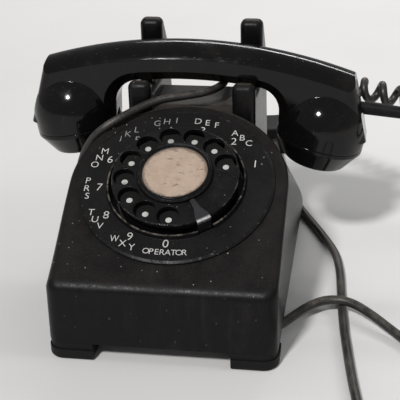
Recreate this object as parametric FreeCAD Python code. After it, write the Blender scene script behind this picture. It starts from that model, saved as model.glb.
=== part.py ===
import FreeCAD, Part
import math
import os

# Desk telephone with a rotary dial, a cradle with two ears, a handset, a curly handset cord
# and a line cord. Millimetres. X is to the right, Y to the back and Z up. The origin is on
# the surface that the telephone stands on, midway along its depth and width.

os.makedirs("parts", exist_ok=True)

# Body
body_depth = 210.0
underside_height = 10.7
wall = 3.0
face_half_width = 64.5
side_spread = 0.6
spread_depth = 110.0
front_corner_radius = 8.0
face_edge_radius = 3.0
ridge_radius = 8.0
back_edge_radius = 9.0

# Dial face
dial_setback = 66.0
dial_height = 81.5
dial_tilt = 26.0
face_drop = 2.0
face_round_radius = 64.0
shoulder_slope = 30.0
flank_slope = 35.0

# Cradle ears
ear_spacing = 64.8
ear_width = 14.4
ear_edge_radius = 4.0
front_prong_thickness = 10.0
front_prong_height = 121.5
saddle_height = 113.0
rear_prong_thickness = 9.0
rear_prong_height = 148.8
prong_gap = 2.5
prong_tip_radius = 4.3
saddle_corner_radius = 2.8
ear_back_reach = 91.0
ear_back_height = 122.0
ear_back_radius = 24.0
ear_foot_height = 20.0
deck_height = 103.0
deck_front_setback = 123.0
deck_back_setback = 179.0
deck_edge_radius = 6.0

# Base plate and feet
plate_thickness = 2.0
plate_clearance = 0.3
foot_width = 25.5
foot_length = 20.0
foot_ledge_height = 6.5
foot_ledge = 0.8
foot_inset = 0.4
foot_edge_radius = 2.0
rear_foot_inset = 16.0
rear_foot_width = 20.0
rear_foot_setback = 8.0
screw_radius = 1.6
screw_head_radius = 3.2
screw_head_height = 1.4
screw_length = 8.0
fit_clearance = 0.05

# Dial
ring_radius = 57.0
ring_inner_radius = 38.7
ring_edge_height = 1.2
ring_bevel = 1.6
ring_lip = 2.4
ring_lip_height = 2.8
ring_skirt_depth = 7.0
ring_skirt_thickness = 2.0
ring_seat_width = 5.0
wheel_radius = 37.0
wheel_top = 7.8
wheel_thickness = 3.0
wheel_edge_radius = 0.5
hole_count = 10
hole_divisions = 13
hole_circle_radius = 29.8
hole_radius = 6.3
last_hole_angle = 270.0
hub_radius = 22.2
hub_height = 3.0
hub_bevel = 1.2
card_radius = 18.9
card_thickness = 0.4
card_cover_thickness = 0.8
card_ring_width = 2.0
card_recess = 0.5
dot_plate_top = 3.3
dot_plate_radius = 35.2
dot_plate_wall = 2.0
frame_depth = 9.0
frame_thickness = 2.5
frame_radius = 44.0
dial_shaft_radius = 3.0
gear_teeth = 36
pinion_teeth = 9
gear_module = 1.0
tooth_height = 0.75
tooth_root_depth = 1.0
tooth_root_half = 0.62
tooth_tip_half = 0.3
gear_thickness = 2.0
gear_depth = 17.0
cam_radius = 9.0
cam_thickness = 2.0
cam_lobe = 2.5
cam_gap = 1.5
shaft_tail = 3.0
governor_shaft_radius = 1.5
governor_drum_radius = 7.0
governor_drum_length = 6.0
governor_drum_gap = 1.5
governor_angle = 150.0
governor_bracket_thickness = 2.0
governor_bracket_width = 10.0
stop_angle = -57.5
stop_width = 8.2
stop_waist_width = 3.8
stop_waist_reach = 30.0
stop_tip_width = 2.8
stop_thickness = 1.2
stop_reach = 23.0
stop_foot = 2.0
stop_clearance = 0.9
stop_leg_radius = 39.3
stop_notch_gap = 0.6
dial_screw_radius = 1.5
dial_screw_head = 2.6
post_width = 12.0
post_thickness = 5.6
post_spacing = 82.0
spring_blade_width = 5.0
spring_blade_thickness = 0.5
spring_blade_length = 24.0
spring_blade_count = 4
spring_blade_pitch = 1.8

# Cradle switch
plunger_radius = 3.8
plunger_stem_bottom = 70.0
plunger_dome = 1.5
contact_gap = 0.3
lever_reach = 19.0
lever_drop = 5.0
lever_thickness = 2.0
lever_bar = 4.0
lever_arm_width = 9.0
lever_shaft_radius = 2.0
hook_bracket_thickness = 3.0
hook_bracket_depth = 10.0

# Ringer and circuit block
gong_radius = 20.0
small_gong_radius = 18.0
gong_height = 13.0
gong_wall = 1.5
gong_floor_gap = 5.0
gong_spacing = 56.0
gong_setback = 34.0
gong_post_radius = 3.0
ringer_frame_length = 40.0
ringer_frame_overlap = 5.0
ringer_frame_width = 26.0
ringer_frame_height = 3.0
coil_radius = 6.5
coil_length = 28.0
coil_spacing = 15.0
clapper_radius = 3.0
clapper_rod_radius = 1.0
clapper_length = 22.0
clapper_pivot_radius = 1.5
volume_wheel_radius = 13.0
volume_wheel_thickness = 3.0
volume_wheel_teeth = 18
volume_tooth = 0.8
volume_shaft_radius = 2.5
block_width = 40.0
block_height = 22.0
block_front_room = 3.0
block_rear_room = 19.0
block_shift = 10.0
terminal_columns = 5
terminal_pitch = 7.0
terminal_radius = 2.6
terminal_height = 2.0

# Handset
handset_setback = 150.0
handset_roll = 2.0
roll_height = 85.0
handle_top = 141.4
handle_width = 30.0
handle_depth = 23.0
handle_crown = 8.0
handle_chamfer = 6.5
handle_arch_radius = 314.0
handle_half_length = 97.5
end_top_height = 126.0
crown_sweep = 50.0
inner_half_span = 52.0
inner_corner_radius = 15.0
end_edge_radius = 6.0
cup_spacing = 156.6
cup_tilt = 12.5
cup_seam_height = 83.0
cup_radius = 28.0
cup_straight = 8.0
cup_pocket_radius = 23.0
cup_pocket_depth = 16.0
cap_height = 16.0
cap_straight = 2.6
cap_face_radius = 19.5
cap_edge_radius = 3.5
cap_wall = 2.8
cap_spigot_height = 5.0
cap_spigot_thickness = 2.0
cap_seam_gap = 0.25
cap_hole_radius = 1.4
receiver_holes = 6
transmitter_holes = 12
receiver_hole_circle = 6.0
transmitter_hole_circle = 11.0
unit_radius = 19.0
unit_face_radius = 13.5
unit_depth = 17.0
unit_step = 7.0
contact_ring_thickness = 2.0
contact_ring_bore = 12.0
boot_height = 104.0
boot_droop = 5.0
boot_radius = 4.3
boot_tip_radius = 3.5
boot_length = 38.0
boot_seat = 9.0
boot_plug_radius = 3.6
boot_collar_gap = 1.9

# Cords
handset_cord_diameter = 5.2
curl_outer_diameter = 16.0
curl_count = 19
curl_blend_turns = 1.0
steps_per_quarter = 12
straight_limit = 0.0001
arc_share = 0.45
tail_run = 9.0
line_cord_diameter = 5.4
coil_turns = 7
coil_mean_radius = 30.0
coil_turn_gap = 1.3
coil_tail = 40.0
grommet_radius = 5.4
grommet_sleeve_radius = 4.4
grommet_flange = 2.0
grommet_length = 7.0
gland_width = 9.5
gland_length = 11.0
gland_height = 8.0
tie_thickness = 1.0
tie_width = 5.0
tie_clearance = 0.4
tie_bearing = 200.0
plug_length = 32.0
plug_width = 24.0
plug_edge_radius = 3.0
pin_radius = 1.8
pin_length = 9.0
pin_spacing = 11.0

# Routes of the cords, each a list of points chosen by hand
elbow_route = [
    (-65.2, 27.1, 23.7), (-77.3, 27.1, 23.7), (-75.6, 21.0, 36.0),
]
lead_route = [
    (-75.6, 21.0, 36.0), (-73.5, 13.5, 51.0), (-70.5, 7.0, 67.0), (-64.5, 1.5, 83.0),
    (-55.5, -2.5, 96.0), (-44.5, 1.0, 104.0), (-33.0, 10.0, 108.2), (-20.5, 16.8, 111.6),
    (-6.0, 20.4, 113.0), (7.5, 26.6, 113.6), (15.0, 38.0, 113.2), (17.0, 53.0, 112.4),
    (16.0, 69.0, 112.0), (15.5, 84.0, 108.0), (18.5, 97.0, 102.4), (26.0, 106.5, 98.6),
    (36.0, 111.0, 98.3),
]
curl_route = [
    (36.0, 111.0, 98.3), (50.0, 117.3, 97.88), (66.0, 112.0, 98.0), (82.0, 99.5, 98.2),
    (98.0, 86.0, 98.6), (117.0, 78.5, 97.6), (137.0, 76.0, 94.0), (157.0, 76.0, 84.5),
    (173.5, 75.0, 69.5), (185.0, 70.5, 52.5), (194.5, 61.5, 41.5), (203.0, 50.0, 44.0),
    (207.0, 44.0, 54.5), (201.5, 42.8, 66.0), (193.5, 43.6, 74.5),
]
tail_route = [
    (193.5, 43.6, 74.5), (186.3, 44.32, 82.15), (175.0, 45.0, 88.3), (162.5, 45.0, 92.3),
]
line_route = [
    (59.3, -72.0, 6.7), (63.0, -66.2, 6.7), (68.6, -57.4, 6.8), (76.4, -46.3, 7.6),
    (87.0, -38.0, 8.8), (100.5, -38.0, 9.0), (113.0, -47.5, 7.4), (127.0, -62.0, 4.6),
    (141.5, -79.0, 2.9), (157.0, -99.0, 2.8), (166.0, -127.0, 2.8), (158.0, -156.0, 2.8),
    (134.0, -168.0, 2.8), (113.0, -154.0, 2.8), (108.0, -129.0, 2.8), (104.5, -105.0, 2.8),
    (101.5, -80.0, 2.8), (99.0, -58.0, 2.8), (97.5, -38.0, 2.8), (96.0, -16.0, 2.8),
    (94.6, 8.0, 2.8), (91.0, 32.0, 2.8), (83.0, 53.0, 2.8), (73.0, 76.0, 2.8),
    (63.0, 98.0, 2.8), (54.0, 122.0, 3.2), (46.5, 142.0, 4.2), (43.3, 156.0, 4.2),
]

# Values worked out from the sizes above
V = FreeCAD.Vector
front_y = -body_depth / 2
back_y = body_depth / 2
dial_y = front_y + dial_setback
handset_y = front_y + handset_setback
ear_x = ear_spacing / 2
body_reach = 2 * body_depth
plate_top = underside_height + plate_thickness
hole_step = 360.0 / hole_divisions
curl_radius = (curl_outer_diameter - handset_cord_diameter) / 2
running_gap = fit_clearance
pieces = {}


# Helpers for outlines and solids

def turned(shape, centre, axis, degrees):
    copy = shape.copy()
    copy.rotate(centre, axis, degrees)
    return copy


def on_dial(shape):
    """Carries a shape drawn flat, with the ring's top at zero, on to the sloping dial face."""
    copy = turned(shape, V(0, 0, 0), V(1, 0, 0), dial_tilt)
    copy.translate(V(0, dial_y, dial_height))
    return copy


def rounded_wire(points, radii):
    """A closed outline through points, with each corner rounded by its radius."""
    count = len(points)
    starts = []
    ends = []
    arcs = []
    for i in range(count):
        corner = points[i]
        before = points[i - 1] - corner
        after = points[(i + 1) % count] - corner
        before.normalize()
        after.normalize()
        radius = radii[i]
        if radius == 0:
            starts.append(corner)
            ends.append(corner)
            arcs.append(None)
            continue
        half = before.getAngle(after) / 2
        reach = radius / math.tan(half)
        middle = before + after
        middle.normalize()
        nearest = corner + middle * (radius / math.sin(half) - radius)
        starts.append(corner + before * reach)
        ends.append(corner + after * reach)
        arcs.append(nearest)
    edges = []
    for i in range(count):
        if arcs[i] is not None:
            edges.append(Part.Arc(starts[i], arcs[i], ends[i]).toShape())
        following = starts[(i + 1) % count]
        if ends[i].distanceToPoint(following) > 1e-6:
            edges.append(Part.LineSegment(ends[i], following).toShape())
    return Part.Wire(edges)


def prism(points, radii, direction):
    return Part.Face(rounded_wire(points, radii)).extrude(direction)


def box(x0, x1, y0, y1, z0, z1):
    return Part.makeBox(x1 - x0, y1 - y0, z1 - z0, V(x0, y0, z0))


def rounded_box(x0, x1, y0, y1, z0, z1, radius):
    corners = [V(x0, y0, z0), V(x1, y0, z0), V(x1, y1, z0), V(x0, y1, z0)]
    return prism(corners, [radius] * 4, V(0, 0, z1 - z0))


def cylinder(radius, bottom, top, x=0.0, y=0.0):
    return Part.makeCylinder(radius, top - bottom, V(x, y, bottom), V(0, 0, 1))


def ring(outer, inner, bottom, top, x=0.0, y=0.0):
    return cylinder(outer, bottom, top, x, y).cut(cylinder(inner, bottom, top, x, y))


def spun(outline):
    """A solid of revolution about Z from an outline of radius and height pairs."""
    points = [V(r, 0, z) for r, z in outline]
    face = Part.Face(Part.makePolygon(points + points[:1]))
    return face.revolve(V(0, 0, 0), V(0, 0, 1), 360)


def mirrored(shape):
    return shape.mirror(V(0, 0, 0), V(1, 0, 0))


def both_sides(shape):
    return Part.makeCompound([shape, mirrored(shape)])


def edges_where(shape, test):
    """Edges whose ends and middle all pass a test of a point."""
    found = []
    for edge in shape.Edges:
        first, last = edge.ParameterRange
        steps = [first, (first + last) / 2, last]
        if all(test(edge.valueAt(step)) for step in steps):
            found.append(edge)
    return found


def near(a, b):
    return abs(a - b) < 0.01


def fused(shapes):
    return shapes[0].multiFuse(shapes[1:]).removeSplitter()


def toothed_wheel(teeth, pitch_radius, thickness, bottom):
    """A wheel with straight-sided teeth and plenty of backlash."""
    root = pitch_radius - tooth_root_depth
    tip = pitch_radius + tooth_height
    foot = root - tooth_root_depth
    tooth = prism([V(foot, -tooth_root_half, bottom), V(tip, -tooth_tip_half, bottom),
                   V(tip, tooth_tip_half, bottom), V(foot, tooth_root_half, bottom)],
                  [0] * 4, V(0, 0, thickness))
    solids = [cylinder(root, bottom, bottom + thickness)]
    for i in range(teeth):
        solids.append(turned(tooth, V(0, 0, 0), V(0, 0, 1), i * 360.0 / teeth))
    return fused(solids)


# Housing: a hollow moulding with a sloping face, two cradle ears and an open underside

def body_section(level, half_width, flank, crown):
    """Outline of the body in a plane along the dial face: straight sides up to flank and a round top."""
    tail = -body_depth
    centre = V(0, flank, level)
    top = V(0, crown, level)
    right = V(half_width, flank, level)
    left = V(-half_width, flank, level)
    right_tail = V(half_width, tail, level)
    left_tail = V(-half_width, tail, level)
    right_round = Part.ArcOfEllipse(Part.Ellipse(right, top, centre), 0, math.pi / 2)
    left_round = Part.ArcOfEllipse(Part.Ellipse(left, top, centre), 0, math.pi / 2)
    return Part.Wire([
        Part.LineSegment(left_tail, right_tail).toShape(),
        Part.LineSegment(right_tail, right).toShape(),
        right_round.toShape(),
        left_round.toShape(),
        Part.LineSegment(left, left_tail).toShape(),
    ])


def body_block(inset, bottom):
    """The body's outer form, with every wall moved in by inset, down to a level."""
    depth = body_reach - face_drop
    spread = side_spread * depth / spread_depth
    flank = depth * math.tan(math.radians(flank_slope))
    crown = face_round_radius + depth * math.tan(math.radians(shoulder_slope))
    top_outline = body_section(-face_drop - inset, face_half_width - inset, 0, face_round_radius - inset)
    low_outline = body_section(-body_reach, face_half_width + spread - inset, flank, crown - inset)
    form = on_dial(Part.makeLoft([top_outline, low_outline], True, True))
    limits = box(-body_depth, body_depth, front_y + inset, back_y - inset, bottom, body_reach)
    block = form.common(limits).Solids[0]
    corners = edges_where(block, lambda p: near(p.y, front_y + inset) and abs(p.x) > face_half_width / 2)
    corners = [e for e in corners if e.BoundBox.ZLength > e.BoundBox.XLength]
    block = block.makeFillet(front_corner_radius - inset, corners)
    rear = edges_where(block, lambda p: near(p.y, back_y - inset))
    rear = [e for e in rear if e.BoundBox.ZLength > wall]
    return block.makeFillet(back_edge_radius - inset, rear)


def face_offset(point):
    """Height of a point above the plane of the dial ring's top."""
    slope = math.radians(dial_tilt)
    return (point.z - dial_height) * math.cos(slope) - (point.y - dial_y) * math.sin(slope)


def ease_face(body):
    """Rounds the edge of the dial face: wide along the front ridge, narrow round the rest."""
    document = FreeCAD.newDocument("housing")
    base = document.addObject("Part::Feature", "block")
    base.Shape = body
    rounding = document.addObject("Part::Fillet", "rounding")
    rounding.Base = base
    chosen = edges_where(body, lambda p: near(face_offset(p), -face_drop))
    radii = []
    for number, edge in enumerate(body.Edges, 1):
        if not any(edge.isSame(other) for other in chosen):
            continue
        ends = [edge.valueAt(step) for step in edge.ParameterRange]
        first, last = [ridge_radius if near(p.y, front_y) else face_edge_radius for p in ends]
        radii.append((number, first, last))
    rounding.Edges = radii
    document.recompute()
    return rounding.Shape


def ear_block(inset):
    """One ear: front prong, saddle and rear prong, down into the body."""
    front_back = handset_y - handle_width / 2 - prong_gap
    rear_front = handset_y + handle_width / 2 + prong_gap
    outline = [
        (front_back - front_prong_thickness + inset, ear_foot_height),
        (front_back - front_prong_thickness + inset, front_prong_height - inset),
        (front_back - inset, front_prong_height - inset),
        (front_back - inset, saddle_height - inset),
        (rear_front + inset, saddle_height - inset),
        (rear_front + inset, rear_prong_height - inset),
        (rear_front + rear_prong_thickness - inset, rear_prong_height - inset),
        (ear_back_reach - inset, ear_back_height - inset),
        (back_y - wall - inset, ear_foot_height),
    ]
    tip = max(prong_tip_radius - inset, fit_clearance)
    inner = saddle_corner_radius
    radii = [0, tip, tip, inner, inner, tip, tip, ear_back_radius, 0]
    half = ear_width / 2 - inset
    points = [V(ear_x - half, y, z) for y, z in outline]
    return prism(points, radii, V(2 * half, 0, 0))


def deck_block(inset, bottom):
    """The level deck between the ears, with every wall but the sides moved in by inset."""
    inner = ear_x - ear_width / 2
    block = box(-inner, inner, front_y + deck_front_setback, front_y + deck_back_setback - inset,
                bottom, deck_height - inset)
    last = front_y + deck_back_setback - inset
    rim = edges_where(block, lambda p: near(p.z, deck_height - inset) and near(p.y, last))
    return block.makeFillet(deck_edge_radius - inset, rim)


def make_housing():
    body = ease_face(body_block(0.0, underside_height))
    ear = ear_block(0.0)
    side_edges = edges_where(ear, lambda p: near(abs(p.x - ear_x), ear_width / 2))
    side_edges = [e for e in side_edges if e.BoundBox.ZMax > ear_foot_height + wall]
    ear = ear.makeFillet(ear_edge_radius, side_edges)
    hollow = body_block(wall, underside_height - wall)
    ear_hollow = ear_block(wall)
    well = on_dial(cylinder(ring_radius - ring_seat_width, -2 * wall - face_drop, face_round_radius))
    hole = cylinder(plunger_radius + running_gap, plunger_stem_bottom, rear_prong_height, ear_x, handset_y)
    deck = deck_block(0.0, underside_height + wall)
    shell = body.fuse([ear, mirrored(ear), deck])
    deck_hollow = deck_block(wall, underside_height + wall)
    shell = shell.cut([hollow, ear_hollow, mirrored(ear_hollow), deck_hollow, well, hole, mirrored(hole)])
    entry = V(*elbow_route[0])
    bore = Part.makeCylinder(grommet_radius, 2 * grommet_length, entry - V(grommet_length, 0, 0), V(1, 0, 0))
    return shell.cut(bore).removeSplitter().Solids[0]


def side_half_width(y, z):
    """Half the body's width at a place low on its straight sides."""
    depth = -face_offset(V(0, y, z)) - face_drop
    return face_half_width + side_spread * depth / spread_depth


pieces["housing"] = make_housing()


# Base plate, feet and the screws that hold what stands on the plate

def make_base_plate():
    inset = wall + plate_clearance
    slab = box(-body_depth, body_depth, front_y, back_y, underside_height, plate_top)
    plate = body_block(inset, underside_height).common(slab)
    holes = [cylinder(screw_radius + fit_clearance, 0, plate_top, x, y) for x, y in screw_places]
    holes.append(cylinder(volume_shaft_radius + running_gap, 0, plate_top, volume_x, volume_y))
    return plate.cut(holes).removeSplitter()


def make_front_foot():
    outer = side_half_width(front_y, underside_height) - foot_inset
    inner = outer - foot_width
    near_y = front_y + foot_inset
    radius = front_corner_radius
    top = rounded_box(inner, outer, near_y, near_y + foot_length, foot_ledge_height, underside_height, 0)
    corner = edges_where(top, lambda p: near(p.x, outer) and near(p.y, near_y))
    top = top.makeFillet(radius, corner)
    edge = foot_ledge
    sole = rounded_box(inner, outer + edge, near_y - edge, near_y + foot_length, 0, foot_ledge_height, 0)
    corner = edges_where(sole, lambda p: near(p.x, outer + edge) and near(p.y, near_y - edge))
    sole = sole.makeFillet(radius + edge, corner)
    sole = sole.makeFillet(foot_edge_radius, edges_where(sole, lambda p: near(p.z, 0)))
    return fused([top, sole])


def make_rear_foot():
    outer = rear_foot_inset + rear_foot_width
    last = back_y - rear_foot_setback
    foot = rounded_box(rear_foot_inset, outer, last - foot_length, last, 0, underside_height,
                       2 * foot_edge_radius)
    return foot.makeFillet(foot_edge_radius, edges_where(foot, lambda p: near(p.z, 0)))


def make_screw(x, y):
    head = cylinder(screw_head_radius, underside_height - screw_head_height, underside_height, x, y)
    shank = cylinder(screw_radius, underside_height, underside_height + screw_length, x, y)
    slot = box(x - screw_head_radius, x + screw_head_radius, y - screw_radius / 4, y + screw_radius / 4,
               underside_height - screw_head_height, underside_height - screw_head_height / 2)
    return head.fuse(shank).removeSplitter().cut(slot)


frame_top = -frame_depth
frame_bottom = frame_top - frame_thickness
post_x = post_spacing / 2
post_foot_y = dial_y + (dial_height - plate_top) * math.tan(math.radians(dial_tilt))
lever_y = handset_y - lever_reach
bracket_x = ear_x - lever_arm_width
volume_x = ear_x
volume_y = handset_y
screw_places = [(post_x, post_foot_y), (-post_x, post_foot_y), (bracket_x, lever_y), (-bracket_x, lever_y)]
screw_bores = [cylinder(screw_radius + fit_clearance, 0, underside_height + screw_length + screw_radius, x, y)
               for x, y in screw_places]

pieces["base_plate"] = make_base_plate()
pieces["front_feet"] = both_sides(make_front_foot())
pieces["rear_feet"] = both_sides(make_rear_foot())
pieces["base_screws"] = Part.makeCompound([make_screw(x, y) for x, y in screw_places])


# Dial: number ring, dot plate, finger wheel, card and finger stop, drawn flat and then tilted

def make_number_ring():
    lip = ring_inner_radius + ring_lip
    skirt = ring_inner_radius + ring_skirt_thickness
    whole = spun([
        (ring_radius, -face_drop), (ring_radius, ring_edge_height - face_drop),
        (ring_radius - ring_bevel, 0), (lip, 0), (lip - ring_lip / 3, ring_lip_height),
        (ring_inner_radius + ring_lip / 3, ring_lip_height), (ring_inner_radius, 0),
        (ring_inner_radius, -ring_skirt_depth), (skirt, -ring_skirt_depth), (skirt, -face_drop),
    ])
    half = stop_width / 2 + stop_notch_gap
    slot = box(wheel_radius, stop_leg_radius + stop_notch_gap, -half, half,
               -ring_skirt_depth, ring_lip_height)
    rim_cut = box(wheel_radius, lip, -half, half, 0, ring_lip_height)
    return whole.cut([turned(cut, V(0, 0, 0), V(0, 0, 1), stop_angle) for cut in (slot, rim_cut)])


def hole_places():
    """Centres of the finger holes, from the last digit round to the first."""
    places = []
    for i in range(hole_count):
        angle = math.radians(last_hole_angle - i * hole_step)
        places.append((hole_circle_radius * math.cos(angle), hole_circle_radius * math.sin(angle)))
    return places


def make_finger_wheel():
    bottom = wheel_top - wheel_thickness
    hub_top = wheel_top + hub_height
    edge = wheel_edge_radius
    floor = hub_top - card_recess - card_cover_thickness - card_thickness
    seat = card_radius + card_ring_width
    wheel = spun([
        (0, bottom), (wheel_radius - edge, bottom), (wheel_radius, bottom + edge),
        (wheel_radius, wheel_top - edge), (wheel_radius - edge, wheel_top), (hub_radius, wheel_top),
        (hub_radius, hub_top - hub_bevel), (hub_radius - hub_bevel / 2, hub_top),
        (seat, hub_top), (seat, floor), (0, floor),
    ])
    wheel = wheel.cut([cylinder(hole_radius, bottom, hub_top, x, y) for x, y in hole_places()])
    outer = wheel_radius - 1.5 * edge
    rims = edges_where(wheel, lambda p: near(p.z, wheel_top)
                       and hub_radius + edge < math.hypot(p.x, p.y) < outer)
    return wheel.makeFillet(edge / 2, rims)


def make_card_parts():
    hub_top = wheel_top + hub_height
    card_bottom = hub_top - card_recess - card_cover_thickness - card_thickness
    cover_bottom = card_bottom + card_thickness
    cover_top = cover_bottom + card_cover_thickness
    pieces["dial_card"] = on_dial(cylinder(card_radius, card_bottom, cover_bottom))
    pieces["card_cover"] = on_dial(cylinder(card_radius, cover_bottom, cover_top))
    outer = card_radius + card_ring_width - fit_clearance
    inner = card_radius + fit_clearance
    crest = hub_top + card_recess
    pieces["card_ring"] = on_dial(spun([
        (inner, card_bottom), (outer, card_bottom), (outer, hub_top), (outer - card_ring_width / 3, crest),
        (inner + card_ring_width / 3, crest), (inner, hub_top),
    ]))


def make_finger_stop():
    """A bent steel strip: a foot on the frame, a leg through the ring's notch, a tip over the wheel."""
    sheet = stop_thickness
    inner = stop_leg_radius - sheet
    top = wheel_top + stop_clearance + sheet
    side = [
        (stop_leg_radius, frame_top), (stop_leg_radius, top), (stop_reach, top), (stop_reach, top - sheet),
        (inner, top - sheet), (inner, frame_top + sheet), (inner - stop_foot, frame_top + sheet),
        (inner - stop_foot, frame_top),
    ]
    bends = [0, sheet * 2 / 3, 0, 0, 0, 0, 0, 0]
    half = stop_width / 2
    strip = prism([V(r, -half, z) for r, z in side], bends, V(0, stop_width, 0))
    shoulder = inner - stop_foot
    edge = [(stop_leg_radius, half), (shoulder, half), (stop_waist_reach, stop_waist_width / 2),
            (stop_reach, stop_tip_width / 2)]
    outline = [V(r, y, frame_top) for r, y in edge] + [V(r, -y, frame_top) for r, y in reversed(edge)]
    taper = prism(outline, [0, 0, sheet, sheet / 2, sheet / 2, sheet, 0, 0], V(0, 0, top - frame_top))
    return turned(strip.common(taper).removeSplitter(), V(0, 0, 0), V(0, 0, 1), stop_angle)


pieces["number_ring"] = on_dial(make_number_ring())
pieces["finger_wheel"] = on_dial(make_finger_wheel())
make_card_parts()
pieces["finger_stop"] = on_dial(make_finger_stop())


# Dial works: dot plate, frame, shaft, gear, cam, governor, contact springs, posts and screws

gear_bottom = -gear_depth - gear_thickness
cam_bottom = gear_bottom - cam_gap - cam_thickness
shaft_bottom = cam_bottom - shaft_tail
gear_radius = gear_teeth * gear_module / 2
pinion_radius = pinion_teeth * gear_module / 2
governor_distance = gear_radius + pinion_radius
drum_top = gear_bottom - governor_drum_gap
drum_bottom = drum_top - governor_drum_length
bracket_top = drum_bottom - governor_drum_gap
axis_z = V(0, 0, 1)
centre = V(0, 0, 0)
governor_place = turned(Part.Vertex(governor_distance, 0, 0), centre, axis_z, governor_angle).Point


def make_frame():
    frame = cylinder(frame_radius, frame_bottom, frame_top)
    bores = [cylinder(dial_shaft_radius + running_gap, frame_bottom, frame_top),
             cylinder(governor_shaft_radius + running_gap, frame_bottom, frame_top,
                      governor_place.x, governor_place.y)]
    for side in (1, -1):
        bores.append(cylinder(dial_screw_radius + fit_clearance, frame_bottom, frame_top, side * post_x))
    return frame.cut(bores)


def make_cam():
    lobe = rounded_box(0, cam_radius + cam_lobe, -cam_lobe, cam_lobe,
                       cam_bottom, cam_bottom + cam_thickness, cam_lobe / 2)
    body = cylinder(cam_radius, cam_bottom, cam_bottom + cam_thickness)
    return fused([body, lobe]).cut(cylinder(dial_shaft_radius + fit_clearance, cam_bottom, gear_bottom))


def make_governor():
    pinion = toothed_wheel(pinion_teeth, pinion_radius, gear_thickness, gear_bottom)
    pinion = turned(pinion, centre, axis_z, governor_angle + 180 + 180.0 / pinion_teeth)
    rod = cylinder(governor_shaft_radius, bracket_top - governor_bracket_thickness, frame_top - contact_gap)
    drum = cylinder(governor_drum_radius, drum_bottom, drum_top)
    whole = fused([pinion, rod, drum])
    whole.translate(governor_place)
    return whole


def make_governor_bracket():
    thick = governor_bracket_thickness
    inner = governor_distance - governor_bracket_width / 2
    outer = governor_distance + governor_drum_radius + governor_drum_gap
    half = governor_bracket_width / 2
    arm = box(inner, outer, -half, half, bracket_top - thick, bracket_top)
    upright = box(outer, outer + thick, -half, half, bracket_top - thick, frame_bottom)
    bore = cylinder(governor_shaft_radius + running_gap, bracket_top - thick, bracket_top, governor_distance)
    return turned(fused([arm, upright]).cut(bore), centre, axis_z, governor_angle)


def make_contact_springs():
    first = cam_radius + cam_lobe + 2 * governor_drum_gap
    top = gear_bottom - contact_gap
    root = -(gear_radius + tooth_height)
    last = first + (spring_blade_count - 1) * spring_blade_pitch + spring_blade_thickness
    holder = box(first - spring_blade_pitch, last + spring_blade_pitch, root - spring_blade_width * 2, root,
                 top - spring_blade_width, frame_bottom)
    blades = [holder]
    for i in range(spring_blade_count):
        x = first + i * spring_blade_pitch
        blades.append(box(x, x + spring_blade_thickness, root, root + spring_blade_length,
                          top - spring_blade_width, top))
    return fused(blades)


def make_post():
    half = post_thickness / 2
    post = on_dial(box(post_x - half, post_x + half, -post_width / 2, post_width / 2,
                       -body_depth, frame_bottom))
    post = post.common(box(-body_depth, body_depth, front_y, back_y, plate_top, body_depth))
    thread = on_dial(cylinder(dial_screw_radius + fit_clearance, frame_bottom - screw_length,
                              frame_bottom, post_x))
    return post.cut([thread] + screw_bores)


def make_dial_screw():
    head = cylinder(dial_screw_head, frame_top, frame_top + dial_screw_radius, post_x)
    shank = cylinder(dial_screw_radius, frame_bottom - screw_length + contact_gap, frame_top, post_x)
    return on_dial(fused([head, shank]))


dot_plate = cylinder(dot_plate_radius, frame_top, dot_plate_top)
dot_hollow = cylinder(dot_plate_radius - dot_plate_wall, frame_top, dot_plate_top - dot_plate_wall)
dot_plate = dot_plate.cut([dot_hollow, cylinder(dial_shaft_radius + contact_gap, frame_top, dot_plate_top)])
dial_gear = toothed_wheel(gear_teeth, gear_radius, gear_thickness, gear_bottom)
dial_gear = turned(dial_gear, centre, axis_z, governor_angle)
dial_gear = dial_gear.cut(cylinder(dial_shaft_radius + fit_clearance, gear_bottom, 0))
pieces["dot_plate"] = on_dial(dot_plate)
pieces["dial_frame"] = on_dial(make_frame())
pieces["dial_shaft"] = on_dial(cylinder(dial_shaft_radius, shaft_bottom, wheel_top - wheel_thickness))
pieces["dial_gear"] = on_dial(dial_gear)
pieces["pulse_cam"] = on_dial(make_cam())
pieces["governor"] = on_dial(make_governor())
pieces["governor_bracket"] = on_dial(make_governor_bracket())
pieces["contact_springs"] = on_dial(make_contact_springs())
pieces["dial_posts"] = both_sides(make_post())
pieces["dial_screws"] = both_sides(make_dial_screw())


# Handset: an arched handle with two cups, caps, units and the boot of its cord, rolled to one side

arch_centre = handle_top - handle_arch_radius
underside_radius = handle_arch_radius - handle_depth
handle_front = handset_y - handle_width / 2
tilt = math.radians(cup_tilt)
cup_up = V(math.sin(tilt), 0, math.cos(tilt))
cup_out = V(math.cos(tilt), 0, -math.sin(tilt))
seam_centre = V(cup_spacing / 2, handset_y, cup_seam_height)
end_foot = seam_centre + cup_out * cup_radius + cup_up * cup_straight
end_slope = (end_foot.x - handle_half_length) / (end_top_height - end_foot.z)
boot_root = V(end_foot.x - end_slope * (boot_height - end_foot.z), handset_y, boot_height)


def rolled(shape):
    """Leans the handset in its cradle, with the transmitter end lower."""
    return turned(shape, V(0, handset_y, roll_height), V(0, 1, 0), handset_roll)


def at_cup(shape, side):
    """Carries a shape drawn about a cup's axis, with the seam at zero, to its end of the handle."""
    copy = turned(shape, centre, V(0, 1, 0), side * cup_tilt)
    copy.translate(V(side * seam_centre.x, handset_y, cup_seam_height))
    return copy


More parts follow.
